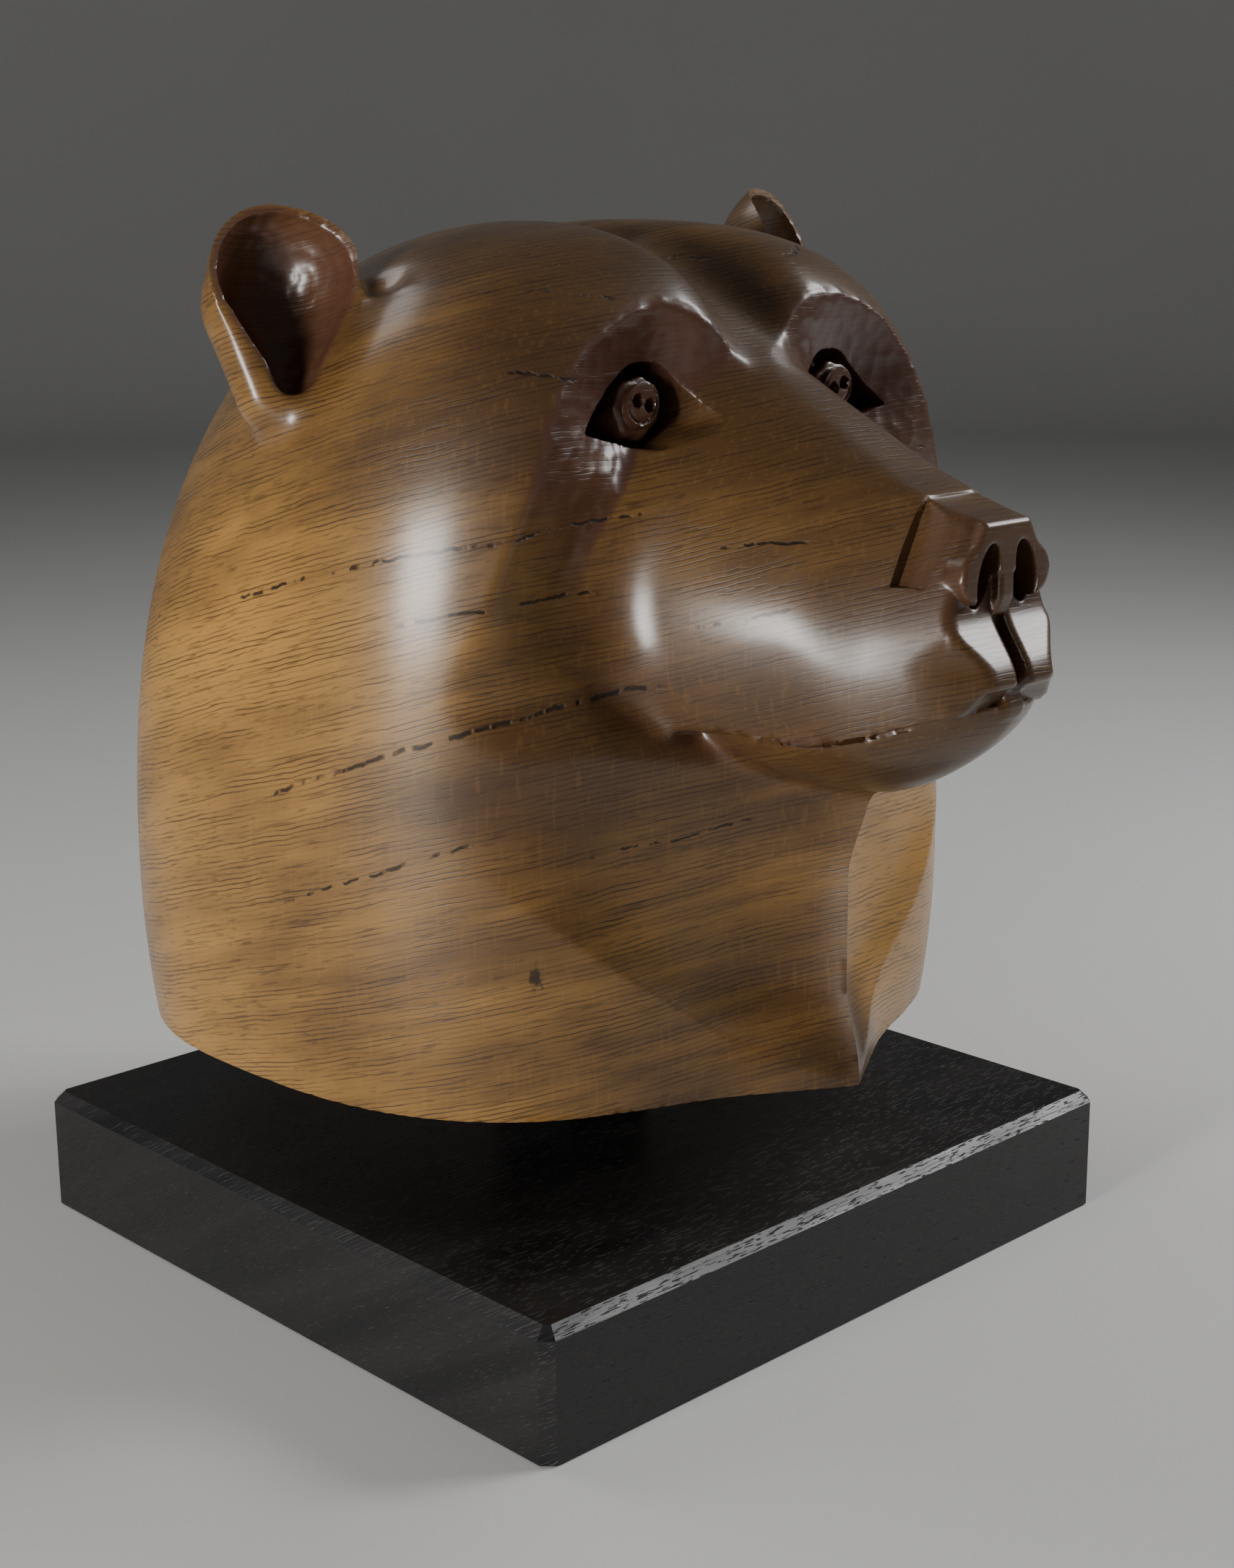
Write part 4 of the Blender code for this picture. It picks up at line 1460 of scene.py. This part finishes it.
@dataclass(frozen=True)
class OakFinish:
    """Waxed old oak: growth lines that climb toward the face, flecks, cracks, stained cuts, painted shade in
    creases and painted light on the low far throat.
    """

    figure: WoodFigure
    crack_line: CrackLine
    honey: tuple = (0.40, 0.215, 0.056, 1.0)
    brown: tuple = (0.082, 0.041, 0.014, 1.0)
    line: tuple = (0.026, 0.012, 0.006, 1.0)
    # The stain colour also tints the painted crease shade.
    stain: tuple = (0.075, 0.031, 0.022, 1.0)
    crack: tuple = (0.012, 0.006, 0.004, 1.0)
    roughness: tuple[float, float] = (0.38, 0.50)
    climb: float = 0.31
    spacing: float = 0.0021
    waviness: float = 0.0011
    pore_length: float = 0.011
    line_share: float = 0.88
    pore_share: float = 0.40
    fleck_share: float = 0.08
    knot_share: float = 0.85
    crease_shade_share: float = 0.35
    crack_share: float = 0.92
    specular: float = 0.25
    coat: float = 0.6
    coat_roughness: float = 0.24
    crack_roughness: float = 0.5
    cut_gloss: float = 0.08
    knot: Vec3 = (-124.2, -115.3, 62.3)
    cracks: tuple[Crack, ...] = (
        Crack(292.0, -0.08, 0.0, -34.0, 20.0, 0.8),
        Crack(324.0, -0.08, 0.0, -6.0, 42.0, 0.9),
        Crack(236.0, 0.08, -0.0006, -190.0, 62.0, 0.9),
        Crack(209.0, 0.03, -0.001, -84.0, 32.0, 0.9),
        Crack(167.0, 0.13, -0.0008, -165.0, 66.0, 1.2),
        Crack(123.0, 0.15, -0.0007, -158.0, -38.0, 0.9),
        Crack(105.0, 0.075, 0.0, 18.0, 118.0, 0.6),
        Crack(181.5, 0.2, 0.0, 78.0, 136.0, 0.7),
        Crack(225.7, 0.042, 0.0, 88.0, 156.0, 0.7),
        Crack(340.0, -0.12, 0.0, -20.0, 60.0, 0.8, Side.LEFT),
        Crack(250.0, 0.08, -0.0006, -170.0, 20.0, 0.8, Side.LEFT),
        Crack(150.0, 0.12, -0.0007, -150.0, 40.0, 0.9, Side.LEFT),
    )

    def material(self) -> bpy.types.Material:
        """Lays out the material.

        Returns:
            The material.
        """
        material, graph, shader = start_material("waxed_oak")
        place = graph.node("TexCoord").outputs["Object"]
        in_marks = graph.node("Mapping")
        scale = (1.0 / MARK, 1.0 / MARK, 1.0 / MARK)
        graph.fill(in_marks, {"Location": (0.0, 0.0, -HEAD_BASE / MARK), "Scale": scale, "Vector": place})
        marks = in_marks.outputs[0]
        grain = self.grain(graph, place)
        figure = self.figure.place(graph, grain, self.spacing, self.waviness, self.pore_length)
        stain = graph.node("Attribute", attribute_name="stain").outputs["Fac"]
        wax_and_crease_shade = graph.node("Attribute", attribute_name="wax_and_crease_shade").outputs["Fac"]
        broad = graph.clouds(grain, (5.0, 5.0, 9.0), 3.0, 0.5)
        bands = graph.clouds(grain, (16.0, 16.0, 160.0))
        tone = graph.plus(graph.times(broad, 0.8), graph.times(bands, 0.2))
        # Darker front and crown, and painted light on the low far throat.
        tone = graph.plus(tone, self.tone_shift_and_painted_light(graph, marks))
        colour = graph.mix(graph.remap(tone, 0.30, 0.78), self.honey, self.brown)
        dark = graph.mix(0.55, colour, self.brown, "MULTIPLY")
        colour = graph.mix(graph.remap(figure["Cloud"], 0.42, 0.68, 0.0, 0.55), colour, dark)
        overlays = ((figure["Lines"], self.line_share, self.line),
                    (figure["Pores"], self.pore_share, self.line),
                    (figure["Flecks"], self.fleck_share, self.honey),
                    (self.knots(graph, marks), self.knot_share, self.crack))
        for mask, share, tint in overlays:
            colour = graph.mix(graph.times(mask, share), colour, tint)
        worn = graph.mix(0.75, colour, self.stain)
        colour = graph.mix(stain, colour, worn)
        # Painted shade: creases and hollows are darkened toward the stain colour by how shut in they are,
        # also standing for wax gathered there.
        colour = graph.mix(graph.times(wax_and_crease_shade, self.crease_shade_share), colour, self.stain)
        opened = self.opened(graph, marks)
        colour = graph.mix(graph.times(opened, self.crack_share), colour, self.crack)
        graph.feed(shader.inputs["Base Color"], colour)
        rough = graph.remap(figure["Cloud"], 0.3, 0.7, self.roughness[0], self.roughness[1])
        rough = graph.plus(rough, graph.times(opened, self.crack_roughness), clamp=True)
        rough = graph.minus(rough, graph.times(stain, self.cut_gloss), clamp=True)
        normal = self.relief(graph, marks, figure, opened, stain)
        graph.fill(shader, {"Roughness": rough, "Normal": normal, "Specular IOR Level": self.specular})
        graph.fill(shader, {"Coat Weight": self.coat, "Coat Roughness": self.coat_roughness})
        return material

    def grain(self, graph: Graph, place: Socket) -> Socket:
        """Turns places so that z runs across the growth lines, which climb toward the face.

        Args:
            graph: The material's nodes.
            place: Place on the object.

        Returns:
            The turned place.
        """
        split = graph.parted(place)
        climb = graph.times(split[1], self.climb)
        return graph.gathered(split[0], split[1], graph.plus(split[2], climb))

    def tone_shift_and_painted_light(self, graph: Graph, marks: Socket) -> Socket:
        """How much darker the wood is made toward the muzzle, the throat and the crown, less the painted
        light that makes the low throat on the head's left lighter.

        Args:
            graph: The material's nodes.
            marks: Place in marks.

        Returns:
            A number added to the tone.
        """
        split = graph.parted(marks)
        across, back, height = split
        forward = graph.remap(back, -60.0, -140.0, 0.0, 0.26)
        crown = graph.remap(height, 220.0, 330.0, 0.0, 0.22)
        # Painted light: the low throat on the head's left, the far side, is lightened as if the light falls
        # on it.
        painted_far_throat_light = graph.times(graph.remap(across, 5.0, 50.0), graph.remap(height, 175.0, 130.0, 0.0, 0.34))
        return graph.minus(graph.plus(forward, crown), graph.plus(painted_far_throat_light, 0.03))

    def knots(self, graph: Graph, marks: Socket) -> Socket:
        """Dark centre of the small knot low on the right cheek.

        Args:
            graph: The material's nodes.
            marks: Place in marks.

        Returns:
            1 in the knot and 0 beside it.
        """
        apart = graph.node("VectorMath", operation="DISTANCE")
        graph.feed(apart.inputs[0], marks)
        apart.inputs[1].default_value = self.knot
        ragged = graph.times(graph.minus(graph.noise(marks, 0.28, 2.0), 0.5), 14.0)
        return graph.remap(graph.plus(apart.outputs["Value"], ragged), 5.0, 1.5)

    def opened(self, graph: Graph, marks: Socket) -> Socket:
        """All the cracks together.

        Args:
            graph: The material's nodes.
            marks: Place in marks.

        Returns:
            1 in a crack and 0 beside it.
        """
        opened = self.crack_line.place(graph, marks, self.cracks[0])
        for crack in self.cracks[1:]:
            opened = graph.math("MAXIMUM", opened, self.crack_line.place(graph, marks, crack))
        return opened

    def relief(self, graph: Graph, marks: Socket, figure: bpy.types.bpy_prop_collection,
               opened: Socket, stain: Socket) -> Socket:
        """Fine relief: raised growth lines, open cracks and scraper marks.

        Args:
            graph: The material's nodes.
            marks: Place in marks.
            figure: Outputs of the wood's figure.
            opened: Where the cracks are open.
            stain: Where the cuts are.

        Returns:
            The shading normal.
        """
        height = graph.plus(figure["Lines"], graph.times(figure["Pores"], 0.8))
        normal = graph.bump(graph.times(height, -1.0), 0.35, 0.00025)
        scrapes = graph.clouds(marks, (0.55, 0.55, 0.05))
        scrapes = graph.times(scrapes, graph.plus(0.35, graph.times(stain, 0.65)))
        normal = graph.bump(scrapes, 0.16, 0.0005, normal)
        return graph.bump(graph.times(opened, -1.0), 0.8, 0.0009, normal)


@dataclass(frozen=True)
class EbonyFinish:
    """Ebonised open-pored wood with its grain along x, a little greyer in broad clouds."""

    figure: WoodFigure
    name: str = "ebonised_wood"
    black: tuple = (0.0050, 0.0048, 0.0052, 1.0)
    grey: tuple = (0.012, 0.011, 0.011, 1.0)
    dust_and_sheen: tuple = (0.075, 0.06, 0.045, 1.0)
    roughness: tuple[float, float] = (0.30, 0.46)
    spacing: float = 0.0031
    waviness: float = 0.0012
    pore_length: float = 0.006
    dust_and_sheen_share: float = 0.35

    def material(self) -> bpy.types.Material:
        """Lays out the material.

        Returns:
            The material.
        """
        material, graph, shader = start_material(self.name)
        place = graph.node("TexCoord").outputs["Object"]
        split = graph.parted(place)
        lean = graph.plus(split[1], graph.times(split[2], 1.6))
        grain = graph.gathered(split[0], graph.times(split[2], 0.6), lean)
        figure = self.figure.place(graph, grain, self.spacing, self.waviness, self.pore_length)
        colour = graph.mix(graph.remap(figure["Cloud"], 0.35, 0.65), self.black, self.grey)
        colour = graph.mix(graph.times(figure["Lines"], 0.4), colour, self.black)
        # Light specks in the pores: dust, and painted sheen where the pores catch the light.
        specks = graph.remap(graph.clouds(grain, (330.0, 900.0, 900.0), 1.0), 0.62, 0.74)
        colour = graph.mix(graph.times(specks, self.dust_and_sheen_share), colour, self.dust_and_sheen)
        graph.feed(shader.inputs["Base Color"], colour)
        rough = graph.remap(figure["Cloud"], 0.3, 0.7, self.roughness[0], self.roughness[1])
        rough = graph.plus(rough, graph.times(figure["Pores"], 0.35), clamp=True)
        graph.feed(shader.inputs["Roughness"], rough)
        height = graph.plus(graph.times(figure["Lines"], 0.25), figure["Pores"])
        graph.feed(shader.inputs["Normal"], graph.bump(graph.times(height, -1.0), 0.5, 0.0004))
        return material


@dataclass(frozen=True)
class FloorFinish:
    """Pale matt floor."""

    colour: tuple = (0.62, 0.62, 0.61, 1.0)
    shade: tuple = (0.58, 0.58, 0.575, 1.0)
    roughness: float = 0.85

    def material(self) -> bpy.types.Material:
        """Lays out the material.

        Returns:
            The material.
        """
        material, graph, shader = start_material("pale_floor")
        place = graph.node("TexCoord").outputs["Object"]
        colour = graph.mix(graph.remap(graph.noise(place, 0.7, 3.0), 0.35, 0.65), self.colour, self.shade)
        graph.fill(shader, {"Base Color": colour, "Roughness": self.roughness})
        return material


@dataclass(frozen=True)
class Base:
    """Plinth and post, which keep their solids and get their finishes."""

    plinth: EbonyFinish
    post: EbonyFinish

    def dress(self) -> None:
        """Puts the finishes on both pieces."""
        for name, finish in (("plinth", self.plinth), ("support_post", self.post)):
            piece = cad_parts[name]
            material = finish.material()
            if piece.data.materials:
                piece.material_slots[0].link = "OBJECT"
                piece.material_slots[0].material = material
            else:
                piece.data.materials.append(material)
            report(piece)


@dataclass(frozen=True)
class Softbox:
    """A square light that looks at the head."""

    name: str
    towards: Vec3
    distance: float
    side: float
    power: float
    colour: Vec3 = (1.0, 1.0, 1.0)


@dataclass(frozen=True)
class Studio:
    """Pale floor that sweeps up all round, softboxes and the camera."""

    floor: FloorFinish = field(default_factory=FloorFinish)
    radius: float = 5.0
    wall: float = 3.2
    bend: float = 1.2
    bend_steps: int = 10
    turns: int = 96
    aim: Vec3 = (0.0, -0.02, 0.27)
    world_colour: tuple = (0.80, 0.80, 0.80, 1.0)
    world_strength: float = 0.10
    camera_place: Vec3 = (-0.71044, -0.77210, 0.46547)
    camera_forward: Vec3 = (0.67274, 0.69956, -0.24091)
    camera_roll: float = -0.43
    lens: float = 54.35
    sensor: float = 36.0
    lights: tuple[Softbox, ...] = (
        Softbox("side_softbox", (-0.98, -0.136, 0.080), 1.6, 0.42, 24.0, (1.0, 0.98, 0.95)),
        Softbox("front_softbox", (0.67, -0.24, 0.70), 1.7, 0.42, 9.0),
        Softbox("low_softbox", (0.719, -0.504, 0.480), 1.8, 0.55, 17.0),
        Softbox("back_softbox", (-0.24, 0.70, 0.67), 1.9, 0.80, 7.0),
    )

    def sweep(self) -> bpy.types.Object:
        """Floor disc whose rim bends up into a round wall.

        Returns:
            The floor.
        """
        mesh = bmesh.new()
        flat = self.radius - self.bend
        last = mesh.verts.new((0.0, 0.0, 0.0))
        outline = [last]
        path = [(flat, 0.0)]
        for step in range(1, self.bend_steps + 1):
            angle = math.pi / 2.0 * step / self.bend_steps
            path.append((flat + self.bend * math.sin(angle), self.bend * (1.0 - math.cos(angle))))
        path.append((self.radius, self.wall))
        for reach, height in path:
            vert = mesh.verts.new((reach, 0.0, height))
            mesh.edges.new((last, vert))
            outline.append(vert)
            last = vert
        bmesh.ops.spin(mesh, geom=outline + mesh.edges[:], cent=(0.0, 0.0, 0.0), axis=(0.0, 0.0, 1.0),
                       angle=2.0 * math.pi, steps=self.turns, use_merge=True)
        bmesh.ops.remove_doubles(mesh, verts=mesh.verts, dist=1e-5)
        bmesh.ops.recalc_face_normals(mesh, faces=mesh.faces)
        floor = turned_into(mesh, "pale_floor")
        floor.data.shade_smooth()
        floor.data.materials.append(self.floor.material())
        return floor

    def light(self, box: Softbox) -> None:
        """Hangs one softbox.

        Args:
            box: The softbox.
        """
        data = bpy.data.lights.new(box.name, "AREA")
        data.shape = "SQUARE"
        data.size = box.side
        data.energy = box.power
        data.color = box.colour
        lamp = placed(box.name, data)
        towards = Vector(box.towards).normalized()
        turn = towards.to_track_quat("Z", "Y").to_matrix().to_4x4()
        lamp.matrix_world = Matrix.Translation(Vector(self.aim) + towards * box.distance) @ turn

    def camera(self) -> None:
        """Sets the camera where the photograph was taken from."""
        forward = Vector(self.camera_forward).normalized()
        right = forward.cross(Vector((0.0, 0.0, 1.0))).normalized()
        upward = right.cross(forward)
        roll = math.radians(self.camera_roll)
        across = right * math.cos(roll) + upward * math.sin(roll)
        top = upward * math.cos(roll) - right * math.sin(roll)
        data = bpy.data.cameras.new("camera")
        data.lens = self.lens
        data.sensor_width = self.sensor
        camera = placed("camera", data)
        turn = Matrix((across, top, -forward)).transposed().to_4x4()
        camera.matrix_world = Matrix.Translation(self.camera_place) @ turn
        bpy.context.scene.camera = camera

    def build(self) -> None:
        """Sets up the studio."""
        self.camera()
        self.sweep()
        for box in self.lights:
            self.light(box)
        world = bpy.data.worlds.new("studio")
        bpy.context.scene.world = world
        world.use_nodes = True
        shade = world.node_tree.nodes["Background"]
        Graph(world.node_tree).fill(shade, {"Color": self.world_colour, "Strength": self.world_strength})


def main() -> None:
    """Builds the studio, the head and its base, and dresses them."""
    logging.basicConfig(level=logging.INFO, stream=sys.stdout, format="%(message)s")
    figure = WoodFigure()
    Studio().build()
    head = BearHead().build()
    head.data.materials.clear()
    head.data.materials.append(OakFinish(figure, CrackLine()).material())
    post = EbonyFinish(figure, name="post_black", pore_length=0.004, dust_and_sheen_share=0.1)
    Base(EbonyFinish(figure), post).dress()


if __name__ == "__main__":
    main()
